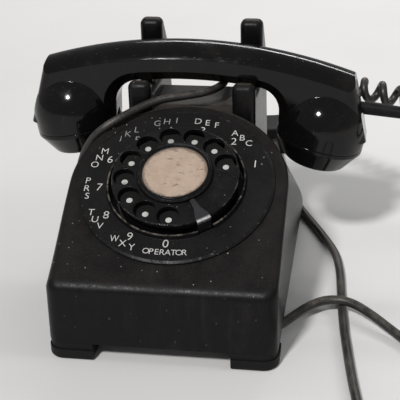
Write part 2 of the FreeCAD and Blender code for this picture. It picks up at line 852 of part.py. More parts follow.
def make_spine():
    """The handle seen from the front, as a slab of its width."""
    y = handle_front
    above = handle_top + handle_crown
    fillet_x = inner_half_span - inner_corner_radius
    fillet_run = underside_radius - inner_corner_radius
    fillet_z = arch_centre + math.sqrt(fillet_run ** 2 - fillet_x ** 2)
    diagonal = inner_corner_radius * math.sqrt(0.5)
    touch = V(fillet_x, y, fillet_z - arch_centre) * (underside_radius / fillet_run)
    touch = V(touch.x, y, touch.z + arch_centre)
    inner_top = V(inner_half_span, y, fillet_z)
    bend = V(fillet_x + diagonal, y, fillet_z + diagonal)
    drop = (seam_centre.x - inner_half_span) * math.tan(tilt)
    inner_foot = V(inner_half_span, y, cup_seam_height + drop + cap_seam_gap)
    middle = V(seam_centre.x, y, cup_seam_height + cap_seam_gap)
    foot = V(end_foot.x, y, end_foot.z)
    top = V(end_foot.x - end_slope * (above - end_foot.z), y, above)

    def flip(p):
        return V(-p.x, p.y, p.z)

    corners = [touch, inner_top, inner_foot, middle, foot, top]
    edges = [Part.Arc(flip(touch), V(0, y, arch_centre + underside_radius), touch).toShape()]
    edges.append(Part.Arc(touch, bend, inner_top).toShape())
    for first, second in zip(corners[1:], corners[2:]):
        edges.append(Part.LineSegment(first, second).toShape())
    edges.append(Part.LineSegment(top, flip(top)).toShape())
    for first, second in zip(corners[:0:-1], corners[-2:0:-1]):
        edges.append(Part.LineSegment(flip(first), flip(second)).toShape())
    edges.append(Part.Arc(flip(inner_top), flip(bend), flip(touch)).toShape())
    return Part.Face(Part.Wire(edges)).extrude(V(0, handle_width, 0))


def make_crown():
    """The rounded back of the handle, swept along its arch."""
    half = handle_width / 2
    curve = (half ** 2 + handle_crown ** 2) / (2 * handle_crown)
    reach = half + fit_clearance
    low = handle_top - curve + math.sqrt(curve ** 2 - reach ** 2)
    inner = arch_centre + underside_radius / 2
    left = V(0, handset_y - reach, low)
    right = V(0, handset_y + reach, low)
    left_foot = V(0, handset_y - reach, inner)
    right_foot = V(0, handset_y + reach, inner)
    face = Part.Face(Part.Wire([
        Part.Arc(left, V(0, handset_y, handle_top), right).toShape(),
        Part.LineSegment(right, right_foot).toShape(),
        Part.LineSegment(right_foot, left_foot).toShape(),
        Part.LineSegment(left_foot, left).toShape(),
    ]))
    axis_point = V(0, 0, arch_centre)
    face = turned(face, axis_point, V(0, 1, 0), -crown_sweep / 2)
    return face.revolve(axis_point, V(0, 1, 0), crown_sweep)


def make_cup():
    """One cup: a short wall under a round dome, standing on the seam."""
    wall_part = cylinder(cup_radius, 0, cup_straight)
    dome = Part.makeSphere(cup_radius, V(0, 0, cup_straight)).common(
        cylinder(cup_radius, cup_straight, cup_straight + cup_radius))
    return fused([wall_part, dome])


def make_handle():
    spine = make_spine()
    spine = spine.common(make_crown()).Solids[0]
    fronts = (handle_front, handle_front + handle_width)

    def on_end(p):
        across = abs(p.x) - end_foot.x + end_slope * (p.z - end_foot.z)
        return near(across, 0) and (near(p.y, fronts[0]) or near(p.y, fronts[1]))

    spine = spine.makeFillet(end_edge_radius, edges_where(spine, on_end))

    def under(p):
        low = math.hypot(p.x, p.z - arch_centre) < underside_radius + fit_clearance
        inside = abs(p.x) < inner_half_span + fit_clearance
        return low and inside and (near(p.y, fronts[0]) or near(p.y, fronts[1]))

    spine = spine.makeChamfer(handle_chamfer, edges_where(spine, under))
    cups = [at_cup(make_cup(), 1), at_cup(make_cup(), -1)]
    end_top = V(end_foot.x - end_slope * cup_radius, 0, end_foot.z + cup_radius)
    bulge = prism([V(end_foot.x, 0, end_foot.z), V(2 * end_foot.x, 0, end_foot.z),
                   V(2 * end_foot.x, 0, end_top.z), end_top], [0] * 4, V(0, body_depth, 0))
    whole = fused([spine] + [cup.cut([bulge, mirrored(bulge)]) for cup in cups])
    pocket = cylinder(cup_pocket_radius, -cup_pocket_depth, cup_pocket_depth)
    plug = cylinder(boot_plug_radius + fit_clearance, -boot_seat, boot_length)
    whole = whole.cut([at_cup(pocket, 1), at_cup(pocket, -1), at_boot(plug)])
    return rolled(whole.removeSplitter().Solids[0])


def make_cap(holes, circle):
    slope = (cup_radius - cap_face_radius) / (cap_height - cap_straight)
    floor = cap_wall - cap_height
    bore = cup_pocket_radius - fit_clearance - cap_spigot_thickness
    inner = cap_face_radius - cap_wall + slope * cap_wall
    taper_top = floor + (bore - inner) / slope
    cap = spun([
        (0, -cap_height), (cap_face_radius, -cap_height), (cup_radius, -cap_straight),
        (cup_radius, -cap_seam_gap), (cup_pocket_radius - fit_clearance, -cap_seam_gap),
        (cup_pocket_radius - fit_clearance, cap_spigot_height), (bore, cap_spigot_height),
        (bore, taper_top), (inner, floor), (0, floor),
    ])
    rim = edges_where(cap, lambda p: near(p.z, -cap_height))
    cap = cap.makeFillet(cap_edge_radius, rim)
    drills = [cylinder(cap_hole_radius, -cap_height, 0)]
    for i in range(holes):
        angle = 2 * math.pi * i / holes
        drills.append(cylinder(cap_hole_radius, -cap_height, 0,
                               circle * math.cos(angle), circle * math.sin(angle)))
    return cap.cut(drills)


def make_unit():
    floor = cap_wall - cap_height
    return fused([cylinder(unit_face_radius, floor, floor + unit_step),
                  cylinder(unit_radius, floor + unit_step, floor + unit_depth)])


def at_boot(shape):
    """Carries a shape drawn upwards from zero to the handle's end, pointing out and a little down."""
    copy = turned(shape, centre, V(0, 1, 0), 90 + boot_droop)
    copy.translate(boot_root)
    return copy


def make_boot():
    sleeve = spun([
        (0, -boot_seat), (boot_plug_radius, -boot_seat), (boot_plug_radius, boot_collar_gap),
        (boot_radius, boot_collar_gap), (boot_tip_radius, boot_length), (0, boot_length),
    ])
    return rolled(at_boot(sleeve))


unit_top = cap_wall - cap_height + unit_depth
handle = make_handle()
pieces["handset_handle"] = handle
pieces["receiver_cap"] = rolled(at_cup(make_cap(receiver_holes, receiver_hole_circle), -1))
pieces["transmitter_cap"] = rolled(at_cup(make_cap(transmitter_holes, transmitter_hole_circle), 1))
pieces["receiver_unit"] = rolled(at_cup(make_unit(), -1))
pieces["transmitter_unit"] = rolled(at_cup(make_unit(), 1))
pieces["contact_ring"] = rolled(at_cup(ring(unit_radius, contact_ring_bore, unit_top,
                                            unit_top + contact_ring_thickness), 1))
pieces["handset_cord_boot"] = make_boot()


# Cradle switch: plungers in the saddles, the lever under them, its shaft, brackets and springs

lever_top = plunger_stem_bottom - contact_gap
lever_z = lever_top - lever_thickness / 2 - lever_drop


def make_plunger(x):
    above = handle.common(cylinder(plunger_radius, saddle_height, rear_prong_height, x, handset_y))
    top = above.optimalBoundingBox().ZMin - contact_gap
    stem = cylinder(plunger_radius, plunger_stem_bottom, top, x, handset_y)
    return stem.makeFillet(plunger_dome, edges_where(stem, lambda p: near(p.z, top)))


def along_x(radius, x0, x1, y, z):
    return Part.makeCylinder(radius, x1 - x0, V(x0, y, z), V(1, 0, 0))


def make_hook_lever():
    bar_front = handset_y - lever_bar / 2
    bar_end = ear_x + plunger_radius
    bar = box(-bar_end, bar_end, bar_front, bar_front + lever_bar, lever_top - lever_thickness, lever_top)
    outer = bracket_x - hook_bracket_thickness / 2 - contact_gap * 2
    inner = outer - lever_thickness
    boss = lever_shaft_radius * 2
    arm = fused([
        along_x(boss, inner, outer, lever_y, lever_z),
        prism([V(inner, lever_y, lever_z - boss),
               V(inner, bar_front + lever_bar, lever_top - lever_thickness),
               V(inner, bar_front, lever_top), V(inner, lever_y, lever_z + boss)],
              [0] * 4, V(lever_thickness, 0, 0)),
    ])
    arm = arm.cut(along_x(lever_shaft_radius + running_gap, 0, ear_x, lever_y, lever_z))
    return fused([bar, arm, mirrored(arm)])


def make_hook_bracket():
    half = hook_bracket_depth / 2
    thick = hook_bracket_thickness / 2
    foot = box(bracket_x - half, bracket_x + half, lever_y - half, lever_y + half,
               plate_top, plate_top + screw_length)
    upright = box(bracket_x - thick, bracket_x + thick, lever_y - half, lever_y + half,
                  plate_top, lever_z + half)
    bore = along_x(lever_shaft_radius + fit_clearance, 0, ear_x, lever_y, lever_z)
    return fused([foot, upright]).cut([bore] + screw_bores)


def make_switch_springs():
    half = spring_blade_width / 2 + spring_blade_count * spring_blade_pitch / 2
    rear = handset_y - contact_gap
    front = rear - hook_bracket_depth
    top = lever_z - lever_drop
    stack = [box(-half, half, front, rear, plate_top, top)]
    for i in range(spring_blade_count):
        y = front + (i + 1) * spring_blade_pitch
        stack.append(box(-spring_blade_width, spring_blade_width, y, y + spring_blade_thickness,
                         top, lever_z))
    return fused(stack)


shaft_end = bracket_x + hook_bracket_thickness / 2
pieces["plungers"] = Part.makeCompound([make_plunger(ear_x), make_plunger(-ear_x)])
pieces["hook_lever"] = make_hook_lever()
pieces["hook_shaft"] = along_x(lever_shaft_radius, -shaft_end, shaft_end, lever_y, lever_z)
pieces["hook_brackets"] = both_sides(make_hook_bracket())
pieces["switch_springs"] = make_switch_springs()


# Ringer: two gongs on posts, a frame with two coils, a clapper, and the loudness wheel under the plate

gong_x = gong_spacing / 2
gong_y = front_y + gong_setback
gong_bottom = plate_top + gong_floor_gap
gong_top = gong_bottom + gong_height
frame_front = gong_y + gong_radius - ringer_frame_overlap
ringer_top = plate_top + ringer_frame_height
clapper_y = frame_front + clapper_length / 6
clapper_z = gong_bottom + gong_height / 2


def make_gong(radius, x):
    shell = cylinder(radius, gong_bottom, gong_top, x, gong_y)
    crest = edges_where(shell, lambda p: near(p.z, gong_top))
    shell = shell.makeFillet(gong_height / 2, crest)
    inside = cylinder(radius - gong_wall, gong_bottom - gong_wall, gong_top - gong_wall, x, gong_y)
    crest = edges_where(inside, lambda p: near(p.z, gong_top - gong_wall))
    inside = inside.makeFillet(gong_height / 2 - gong_wall, crest)
    hole = cylinder(gong_post_radius / 2 + fit_clearance, gong_bottom, gong_top, x, gong_y)
    return shell.cut([inside, hole])


def make_gong_post(x):
    lower = cylinder(gong_post_radius, plate_top, gong_top - gong_wall, x, gong_y)
    upper = cylinder(gong_post_radius / 2, gong_top - gong_wall, gong_top, x, gong_y)
    return fused([lower, upper])


def make_ringer_frame():
    half = ringer_frame_width / 2
    frame = box(-half, half, frame_front, frame_front + ringer_frame_length, plate_top, ringer_top)
    pin = cylinder(clapper_pivot_radius, ringer_top, clapper_z + clapper_radius, 0, clapper_y)
    return fused([frame, pin])


def make_clapper():
    hub = cylinder(2 * clapper_pivot_radius, clapper_z - clapper_radius / 2,
                   clapper_z + clapper_radius / 2, 0, clapper_y)
    rod = Part.makeCylinder(clapper_rod_radius, clapper_length, V(0, clapper_y, clapper_z), V(0, -1, 0))
    ball = Part.makeSphere(clapper_radius, V(0, clapper_y - clapper_length, clapper_z))
    bore = cylinder(clapper_pivot_radius + running_gap, plate_top, gong_top, 0, clapper_y)
    return fused([hub, rod, ball]).cut(bore)


def make_coils():
    rear = frame_front + ringer_frame_length - gong_wall
    bobbin = Part.makeCylinder(coil_radius, coil_length,
                               V(coil_spacing / 2, rear, ringer_top + coil_radius), V(0, -1, 0))
    return both_sides(bobbin)


def make_volume_wheel():
    top = underside_height - contact_gap
    wheel = cylinder(volume_wheel_radius, top - volume_wheel_thickness, top, volume_x, volume_y)
    notches = []
    for i in range(volume_wheel_teeth):
        angle = 2 * math.pi * i / volume_wheel_teeth
        x = volume_x + volume_wheel_radius * math.cos(angle)
        y = volume_y + volume_wheel_radius * math.sin(angle)
        notches.append(cylinder(volume_tooth, 0, top, x, y))
    wheel = wheel.cut(notches)
    rod = cylinder(volume_shaft_radius, top - volume_wheel_thickness, plate_top + contact_gap,
                   volume_x, volume_y)
    head = cylinder(2 * volume_shaft_radius, plate_top + contact_gap, plate_top + volume_wheel_thickness,
                    volume_x, volume_y)
    return fused([wheel, rod, head])


pieces["gong_large"] = make_gong(gong_radius, gong_x)
pieces["gong_small"] = make_gong(small_gong_radius, -gong_x)
pieces["gong_posts"] = both_sides(make_gong_post(gong_x))
pieces["ringer_frame"] = make_ringer_frame()
pieces["ringer_coils"] = make_coils()
pieces["clapper"] = make_clapper()
pieces["volume_wheel"] = make_volume_wheel()


# Circuit block with its terminal screws

block_front = handset_y + block_front_room
block_length = front_y + body_depth - block_rear_room - block_front
block_right = block_width / 2 - block_shift
block_top = plate_top + block_height
block = rounded_box(block_right - block_width, block_right, block_front, block_front + block_length,
                    plate_top, block_top, wall)
terminals = []
for column in range(terminal_columns):
    x = block_right - block_width / 2 + (column - (terminal_columns - 1) / 2) * terminal_pitch
    for y in (block_front + block_length / 4, block_front + block_length * 3 / 4):
        terminals.append(cylinder(terminal_radius, block_top, block_top + terminal_height, x, y))
pieces["network_block"] = block
pieces["terminal_screws"] = Part.makeCompound(terminals)


# Cords: straight runs joined by arcs, the curls, the put-away coil and what they are fixed to

def route_edges(points):
    """Edges of straight runs joined by arcs that touch them, and the radii of those arcs."""
    edges = []
    radii = []
    here = points[0]
    for i in range(1, len(points) - 1):
        corner = points[i]
        before = points[i - 1] - corner
        after = points[i + 1] - corner
        reach = arc_share * min(before.Length, after.Length)
        before.normalize()
        after.normalize()
        half_turn = (math.pi - before.getAngle(after)) / 2
        radius = reach / math.tan(half_turn)
        middle = before + after
        middle.normalize()
        nearest = corner + middle * (radius / math.cos(half_turn) - radius)
        start = corner + before * reach
        end = corner + after * reach
        edges.append(Part.LineSegment(here, start).toShape())
        edges.append(Part.Arc(start, nearest, end).toShape())
        radii.append(radius)
        here = end
    edges.append(Part.LineSegment(here, points[-1]).toShape())
    return edges, radii


def tube(edges, diameter):
    """A round cord along a chain of edges."""
    first = edges[0]
    start = first.valueAt(first.FirstParameter)
    direction = first.tangentAt(first.FirstParameter)
    circle = Part.Wire(Part.Circle(start, direction, diameter / 2).toShape())
    return Part.Wire(edges).makePipeShell([circle], True, False)


def report_tube(name, solid, edges, diameter):
    length = sum(edge.Length for edge in edges)
    expected = math.pi * diameter ** 2 / 4 * length
    print(name, "length", round(length, 1), "volume ratio", round(solid.Volume / expected, 4))


def make_cord(name, points, diameter):
    edges, radii = route_edges(points)
    solid = tube(edges, diameter)
    print(name, "radii", [round(radius, 1) for radius in radii])
    report_tube(name, solid, edges, diameter)
    pieces[name] = solid


def arc_between(start, direction, end):
    """An arc from a point in a direction to another point, or a line where they are in line."""
    chord = end - start
    along = V(direction)
    along.normalize()
    side = along - chord * (along.dot(chord) / chord.dot(chord))
    if side.Length < straight_limit:
        return Part.LineSegment(start, end).toShape()
    angle = along.getAngle(chord)
    side.normalize()
    middle = (start + end) / 2 + side * (chord.Length / 2 * math.tan(angle / 2))
    return Part.Arc(start, middle, end).toShape()


def two_arcs(start, direction, end, end_direction):
    """Two arcs that meet smoothly, from one point and direction to another."""
    chord = end - start
    total = direction + end_direction
    spread = 2 * (1 - direction.dot(end_direction))
    lean = chord.dot(total)
    if spread < straight_limit:
        reach = chord.dot(chord) / (4 * chord.dot(end_direction))
    else:
        reach = (math.sqrt(lean ** 2 + spread * chord.dot(chord)) - lean) / spread
    joint = (start + end + (direction - end_direction) * reach) / 2
    first = arc_between(start, direction, joint)
    joint_direction = first.tangentAt(first.LastParameter)
    return [first, arc_between(joint, joint_direction, end)]


def wound_edges(track, per_arc, leaving, arriving):
    """Pairs of arcs along a finely stepped track, one pair for every so many steps."""
    last = len(track) - 1
    stops = list(range(0, last, per_arc)) + [last]
    headings = [leaving]
    for i in stops[1:-1]:
        step = track[i + 1] - track[i - 1]
        step.normalize()
        headings.append(step)
    headings.append(arriving)
    edges = []
    for i in range(len(stops) - 1):
        edges += two_arcs(track[stops[i]], headings[i], track[stops[i + 1]], headings[i + 1])
    return edges


def least_gap(edges, diameter):
    """Least space between parts of a cord that aren't next to each other along it."""
    points = []
    for edge in edges:
        count = max(2, int(edge.Length))
        points += edge.discretize(Number=count + 1)[:-1]
    travelled = [0.0]
    for first, second in zip(points, points[1:]):
        travelled.append(travelled[-1] + first.distanceToPoint(second))
    best = 10 * diameter
    for i in range(len(points)):
        for j in range(i + 1, len(points)):
            if travelled[j] - travelled[i] > 2 * diameter:
                best = min(best, points[i].distanceToPoint(points[j]))
    return best - diameter


def ease(u):
    """A smooth step from none to all."""
    u = min(max(u, 0.0), 1.0)
    return u * u * (3 - 2 * u)


def curl_edges(points):
    """Curls wound evenly round a route, with a straight run at each end."""
    axis_edges = route_edges(points)[0]
    steps = curl_count * 4 * steps_per_quarter
    line = Part.Wire(axis_edges)
    length = line.Length
    spine = line.discretize(Number=steps + 1)
    heading = spine[1] - spine[0]
    heading.normalize()
    side = heading.cross(V(0, 0, 1))
    side.normalize()
    margin = handset_cord_diameter / length
    track = []
    for i in range(steps + 1):
        ahead = spine[min(i + 1, steps)] - spine[max(i - 1, 0)]
        ahead.normalize()
        side = side - ahead * side.dot(ahead)
        side.normalize()
        up = side.cross(ahead)
        share = (i / steps - margin) / (1 - 2 * margin)
        turns = min(max(share, 0.0), 1.0) * curl_count
        radius = curl_radius * ease(turns / curl_blend_turns) * ease((curl_count - turns) / curl_blend_turns)
        angle = 2 * math.pi * turns
        track.append(spine[i] + up * (radius * math.cos(angle)) + side * (radius * math.sin(angle)))
    lead_in = max(1, math.ceil(margin * steps))
    core = track[lead_in:steps + 1 - lead_in]
    leaving = core[0] - track[0]
    leaving.normalize()
    arriving = track[-1] - core[-1]
    arriving.normalize()
    edges = [Part.LineSegment(track[0], core[0]).toShape()]
    edges += wound_edges(core, steps_per_quarter, leaving, arriving)
    edges.append(Part.LineSegment(core[-1], track[-1]).toShape())
    return edges


def coil_edges(start, heading):
    """Loops that spiral in on the floor, climb a layer and spiral out again above."""
    pitch = line_cord_diameter + coil_turn_gap
    layer_turns = (coil_turns - 0.5) / 2
    outer = coil_mean_radius + pitch * layer_turns / 2
    inner = outer - pitch * layer_turns
    first = start + heading * line_cord_diameter
    lean = math.atan(pitch / (2 * math.pi * outer))
    begin = math.atan2(heading.y, heading.x) - math.pi / 2 - lean
    middle = first - V(math.cos(begin), math.sin(begin), 0) * outer
    steps = int(coil_turns * 4 * steps_per_quarter)
    track = []
    for i in range(steps + 1):
        turns = coil_turns * i / steps
        climb = min(max((turns - layer_turns) / 0.5, 0.0), 1.0)
        if turns <= layer_turns:
            radius = outer - pitch * turns
        elif climb < 1:
            radius = inner - pitch * 0.5 * climb * (1 - climb)
        else:
            radius = inner + pitch * (turns - layer_turns - 0.5)
        angle = begin + 2 * math.pi * turns
        track.append(middle + V(radius * math.cos(angle), radius * math.sin(angle), pitch * ease(climb)))
    rate = pitch / (2 * math.pi)
    leaving = V(rate * math.cos(angle) - outer * math.sin(angle),
                outer * math.cos(angle) + rate * math.sin(angle), 0)
    leaving.normalize()
    loops = wound_edges(track, steps_per_quarter, heading, leaving)
    end = track[-1] + leaving * coil_tail
    edges = [Part.LineSegment(start, first).toShape()] + loops
    edges.append(Part.LineSegment(track[-1], end).toShape())
    return edges, middle, outer, inner, end, leaving


def make_tie(middle, outer, inner, bearing):
    """A band round the loops of the coil."""
    radius = line_cord_diameter / 2
    pitch = line_cord_diameter + coil_turn_gap
    r0 = inner - radius - tie_clearance - coil_turn_gap
    r1 = outer + radius + tie_clearance
    z0 = middle.z - radius - tie_clearance
    z1 = middle.z + pitch + radius + tie_clearance
    half = tie_width / 2
    t = tie_thickness
    band = rounded_box(r0 - t, r1 + t, z0 - t, z1 + t, -half, half, radius)
    band = band.cut(rounded_box(r0, r1, z0, z1, -half, half, radius - t))
    band.rotate(centre, V(1, 0, 0), 90)
    band.rotate(centre, V(0, 0, 1), bearing)
    band.translate(V(middle.x, middle.y, 0))
    return band


def make_plug(end, heading):
    """The wall plug: a rounded block with its pins, lying on the floor."""
    height = 2 * end.z
    half = plug_width / 2
    block = rounded_box(0, plug_length, -half, half, 0, height, plug_edge_radius)
    rims = edges_where(block, lambda p: near(p.z, 0) or near(p.z, height))
    block = block.makeFillet(plug_edge_radius / 2, rims)
    pins = []
    for y in (-pin_spacing / 2, pin_spacing / 2):
        for z in (end.z - pin_spacing / 2, end.z + pin_spacing / 2):
            pins.append(Part.makeCylinder(pin_radius, pin_length, V(plug_length, y, z), V(1, 0, 0)))
    bearing = math.degrees(math.atan2(heading.y, heading.x))
    for shape in [block] + pins:
        shape.rotate(centre, V(0, 0, 1), bearing)
        shape.translate(V(end.x, end.y, 0))
    pieces["line_plug"] = block
    pieces["plug_pins"] = Part.makeCompound(pins)


def make_gland(start, heading):
    """A clamp block under the plate, square to the cord where it leaves."""
    half = gland_width / 2
    bearing = math.degrees(math.atan2(heading.y, heading.x))
    block = rounded_box(-gland_length, 0, -half, half, underside_height - gland_height, underside_height, 0)
    sides = edges_where(block, lambda p: near(p.z, underside_height - gland_height))
    block = block.makeChamfer(plug_edge_radius / 3, sides)
    block.rotate(centre, V(0, 0, 1), bearing)
    block.translate(V(start.x, start.y, 0))
    return block


def make_grommet(points):
    """A rubber elbow: a bush and flange in the housing's wall and a sleeve that turns the cord up."""
    edges = route_edges(points)[0]
    sleeve = tube(edges, 2 * grommet_sleeve_radius)
    wall_point = points[0]
    flange = along_x(grommet_radius + grommet_flange, wall_point.x - grommet_flange, wall_point.x,
                     wall_point.y, wall_point.z)
    bush = along_x(grommet_radius - fit_clearance, wall_point.x, wall_point.x + grommet_length,
                   wall_point.y, wall_point.z)
    return fused([flange, bush, sleeve])


lead = [V(*point) for point in lead_route]
curl = [V(*point) for point in curl_route]
line = [V(*point) for point in line_route]
boot_tip = rolled(at_boot(Part.Vertex(0, 0, boot_length))).Point
boot_lead = rolled(at_boot(Part.Vertex(0, 0, boot_length + tail_run))).Point
tail = [V(*point) for point in tail_route] + [boot_lead, boot_tip]

pieces["handset_cord_grommet"] = make_grommet([V(*point) for point in elbow_route])
make_cord("handset_cord_lead", lead, handset_cord_diameter)
make_cord("handset_cord_stub", tail, handset_cord_diameter)
curls = curl_edges(curl)
pieces["handset_cord_curl"] = tube(curls, handset_cord_diameter)
report_tube("handset_cord_curl", pieces["handset_cord_curl"], curls, handset_cord_diameter)
print("handset_cord_curl least gap", round(least_gap(curls, handset_cord_diameter), 2))

first_run = line[1] - line[0]
first_run.normalize()
last_run = line[-1] - line[-2]
last_run.normalize()
pieces["line_cord_gland"] = make_gland(line[0], first_run)
make_cord("line_cord", line, line_cord_diameter)
loops, coil_centre, coil_outer, coil_inner, coil_end, coil_heading = coil_edges(line[-1], last_run)
pieces["line_cord_coil"] = tube(loops, line_cord_diameter)
report_tube("line_cord_coil", pieces["line_cord_coil"], loops, line_cord_diameter)
print("line_cord_coil least gap", round(least_gap(loops, line_cord_diameter), 2))
print("line_cord_coil centre", coil_centre, "end", coil_end)
pieces["coil_tie"] = make_tie(coil_centre, coil_outer, coil_inner, tie_bearing)
make_plug(coil_end, coil_heading)

for name, piece in pieces.items():
    piece.exportStep("parts/" + name + ".step")
    print(name, piece.isValid(), len(piece.Solids), round(piece.Volume, 1))
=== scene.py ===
import math

import bmesh
import bpy
from mathutils import Euler, Matrix, Vector


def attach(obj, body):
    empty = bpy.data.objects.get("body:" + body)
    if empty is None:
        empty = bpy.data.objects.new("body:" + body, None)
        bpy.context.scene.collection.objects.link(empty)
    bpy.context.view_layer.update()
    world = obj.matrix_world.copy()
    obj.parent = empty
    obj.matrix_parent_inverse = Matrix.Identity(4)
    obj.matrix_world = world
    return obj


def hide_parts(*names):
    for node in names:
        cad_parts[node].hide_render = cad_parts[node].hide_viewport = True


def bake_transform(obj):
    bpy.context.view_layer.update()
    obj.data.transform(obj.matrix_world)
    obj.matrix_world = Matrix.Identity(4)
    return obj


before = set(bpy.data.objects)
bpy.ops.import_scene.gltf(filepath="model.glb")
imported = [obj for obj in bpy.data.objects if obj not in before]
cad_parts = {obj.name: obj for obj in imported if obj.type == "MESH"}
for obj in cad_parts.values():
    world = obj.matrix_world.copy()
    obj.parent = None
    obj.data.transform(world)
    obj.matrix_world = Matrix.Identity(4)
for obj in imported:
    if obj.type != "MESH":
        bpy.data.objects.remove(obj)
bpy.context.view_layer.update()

bpy.context.scene.view_settings.view_transform = "Standard"


# Housing: one hollow moulding of black plastic, with a sloping face for the dial and two cradle ears.
# It was moulded glossy, and years on a shelf have left it satin, with grey dust on what faces up.

def new_finish(name):
    """A material, its node tree and its shader."""
    finish = bpy.data.materials.new(name)
    finish.use_nodes = True
    tree = finish.node_tree
    return finish, tree, tree.nodes["Principled BSDF"]


def feed(tree, socket, value):
    """Joins a node's output to a socket, or sets a plain value there."""
    if isinstance(value, bpy.types.NodeSocket):
        tree.links.new(value, socket)
    else:
        socket.default_value = value


def places(tree, stretch=(1, 1, 1), middle=(0, 0, 0), tilt=0.0):
    """Places on the object, seen from a middle point and a tilt about the sideways axis, then stretched."""
    spot = tree.nodes.new("ShaderNodeTexCoord").outputs["Object"]
    turn = tree.nodes.new("ShaderNodeMapping")
    turn.vector_type = "TEXTURE"
    turn.inputs["Location"].default_value = middle
    turn.inputs["Rotation"].default_value = (tilt, 0, 0)
    turn.inputs["Scale"].default_value = [1 / share for share in stretch]
    tree.links.new(spot, turn.inputs["Vector"])
    return turn.outputs["Vector"]


def mottle(tree, spot, scale, detail=4.0, roughness=0.55):
    """Uneven patches, from 0 to 1."""
    noise = tree.nodes.new("ShaderNodeTexNoise")
    noise.inputs["Scale"].default_value = scale
    noise.inputs["Detail"].default_value = detail
    noise.inputs["Roughness"].default_value = roughness
    tree.links.new(spot, noise.inputs["Vector"])
    return noise.outputs["Fac"]


def between(tree, value, low, high, first=0.0, last=1.0):
    """A value's smooth step from first at low to last at high."""
    step = tree.nodes.new("ShaderNodeMapRange")
    step.interpolation_type = "SMOOTHSTEP"
    feed(tree, step.inputs["Value"], value)
    step.inputs["From Min"].default_value = low
    step.inputs["From Max"].default_value = high
    step.inputs["To Min"].default_value = first
    step.inputs["To Max"].default_value = last
    return step.outputs["Result"]


def sum_up(tree, kind, first, second):
    """Two values put together by one kind of sum."""
    work = tree.nodes.new("ShaderNodeMath")
    work.operation = kind
    feed(tree, work.inputs[0], first)
    feed(tree, work.inputs[1], second)
    return work.outputs[0]


def tint(tree, share, under, over):
    """One colour laid over another by a share."""
    layer = tree.nodes.new("ShaderNodeMix")
    layer.data_type = "RGBA"
    feed(tree, layer.inputs["Factor"], share)
    for name, colour in (("A", under), ("B", over)):
        socket = [s for s in layer.inputs if s.name == name and s.type == "RGBA"][0]
        feed(tree, socket, colour if isinstance(colour, bpy.types.NodeSocket) else (*colour, 1.0))
    return [s for s in layer.outputs if s.type == "RGBA"][0]


def facing_up(tree):
    """How far a surface faces up, from -1 to 1."""
    spread = tree.nodes.new("ShaderNodeSeparateXYZ")
    tree.links.new(tree.nodes.new("ShaderNodeNewGeometry").outputs["Normal"], spread.inputs["Vector"])
    return spread.outputs["Z"]


def relief(tree, shader, height, depth, strength=1.0, under=None):
    """Small bumps of a given depth in metres."""
    bump = tree.nodes.new("ShaderNodeBump")
    bump.inputs["Distance"].default_value = depth
    bump.inputs["Strength"].default_value = strength
    tree.links.new(height, bump.inputs["Height"])
    if under is not None:
        tree.links.new(under, bump.inputs["Normal"])
    tree.links.new(bump.outputs["Normal"], shader.inputs["Normal"])
    return bump.outputs["Normal"]


def eased(tree, radius):
    """The surface's direction with every sharp edge worn round."""
    edge = tree.nodes.new("ShaderNodeBevel")
    edge.samples = 6
    edge.inputs["Radius"].default_value = radius
    return edge.outputs["Normal"]


def dress(finish, *names):
    """Gives a finish to pieces of the frame."""
    for name in names:
        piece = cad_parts[name]
        piece.data.materials.clear()
        piece.data.materials.append(finish)


def aged_moulding(name, black, dust, cover, flat_cover, clean, dull, wave):
    """Black plastic with dust on what faces up, most on what lies flat, lint specks and a wavy skin."""
    finish, tree, shader = new_finish(name)
    spot = places(tree)
    patches = mottle(tree, spot, scale=42.0, detail=6.0, roughness=0.62)
    fine = mottle(tree, spot, scale=900.0, detail=3.0)
    lying = between(tree, facing_up(tree), 0.05, 0.98)
    settled = sum_up(tree, "MULTIPLY", lying, between(tree, patches, 0.28, 0.72, first=0.45))
    settled = sum_up(tree, "MULTIPLY", settled, between(tree, fine, 0.25, 0.75, first=0.55))
    specks = mottle(tree, places(tree, stretch=(1, 1, 0.6)), scale=520.0, detail=1.0)
    lint = sum_up(tree, "MULTIPLY", between(tree, specks, 0.75, 0.80),
                  between(tree, lying, 0.0, 0.4, first=0.12, last=0.9))
    wiped = mottle(tree, places(tree, stretch=(1, 0.35, 1)), scale=75.0, detail=5.0, roughness=0.7)
    smear = between(tree, wiped, 0.5, 0.8, last=0.5)
    runs = mottle(tree, places(tree, stretch=(1, 1, 0.18)), scale=160.0, detail=6.0, roughness=0.7)
    streaks = between(tree, runs, 0.46, 0.72, last=0.55)
    grimy = sum_up(tree, "MULTIPLY", streaks, between(tree, mottle(tree, spot, scale=24.0), 0.38, 0.66))
    thickness = between(tree, facing_up(tree), 0.915, 0.995, first=cover, last=flat_cover)
    veil = sum_up(tree, "ADD", sum_up(tree, "MULTIPLY", settled, thickness),
                  sum_up(tree, "MULTIPLY", smear, cover))
    dark_grime = [0.12 * share for share in dust]
    pale_lint = [min(1.0, 2.4 * share) for share in dust]
    skin = tint(tree, grimy, tint(tree, veil, black, dust), dark_grime)
    tree.links.new(tint(tree, lint, skin, pale_lint), shader.inputs["Base Color"])
    shine = between(tree, sum_up(tree, "ADD", settled, smear), 0.0, 1.0, first=clean, last=dull)
    grain = between(tree, fine, 0.2, 0.8, first=-0.03, last=0.05)
    tree.links.new(sum_up(tree, "ADD", shine, grain), shader.inputs["Roughness"])
    shader.inputs["Specular IOR Level"].default_value = 0.15
    swell = mottle(tree, spot, scale=26.0, detail=2.0)
    skin_wave = relief(tree, shader, swell, depth=wave, under=eased(tree, radius=0.0006))
    relief(tree, shader, fine, depth=0.00004, strength=0.5, under=skin_wave)
    return finish


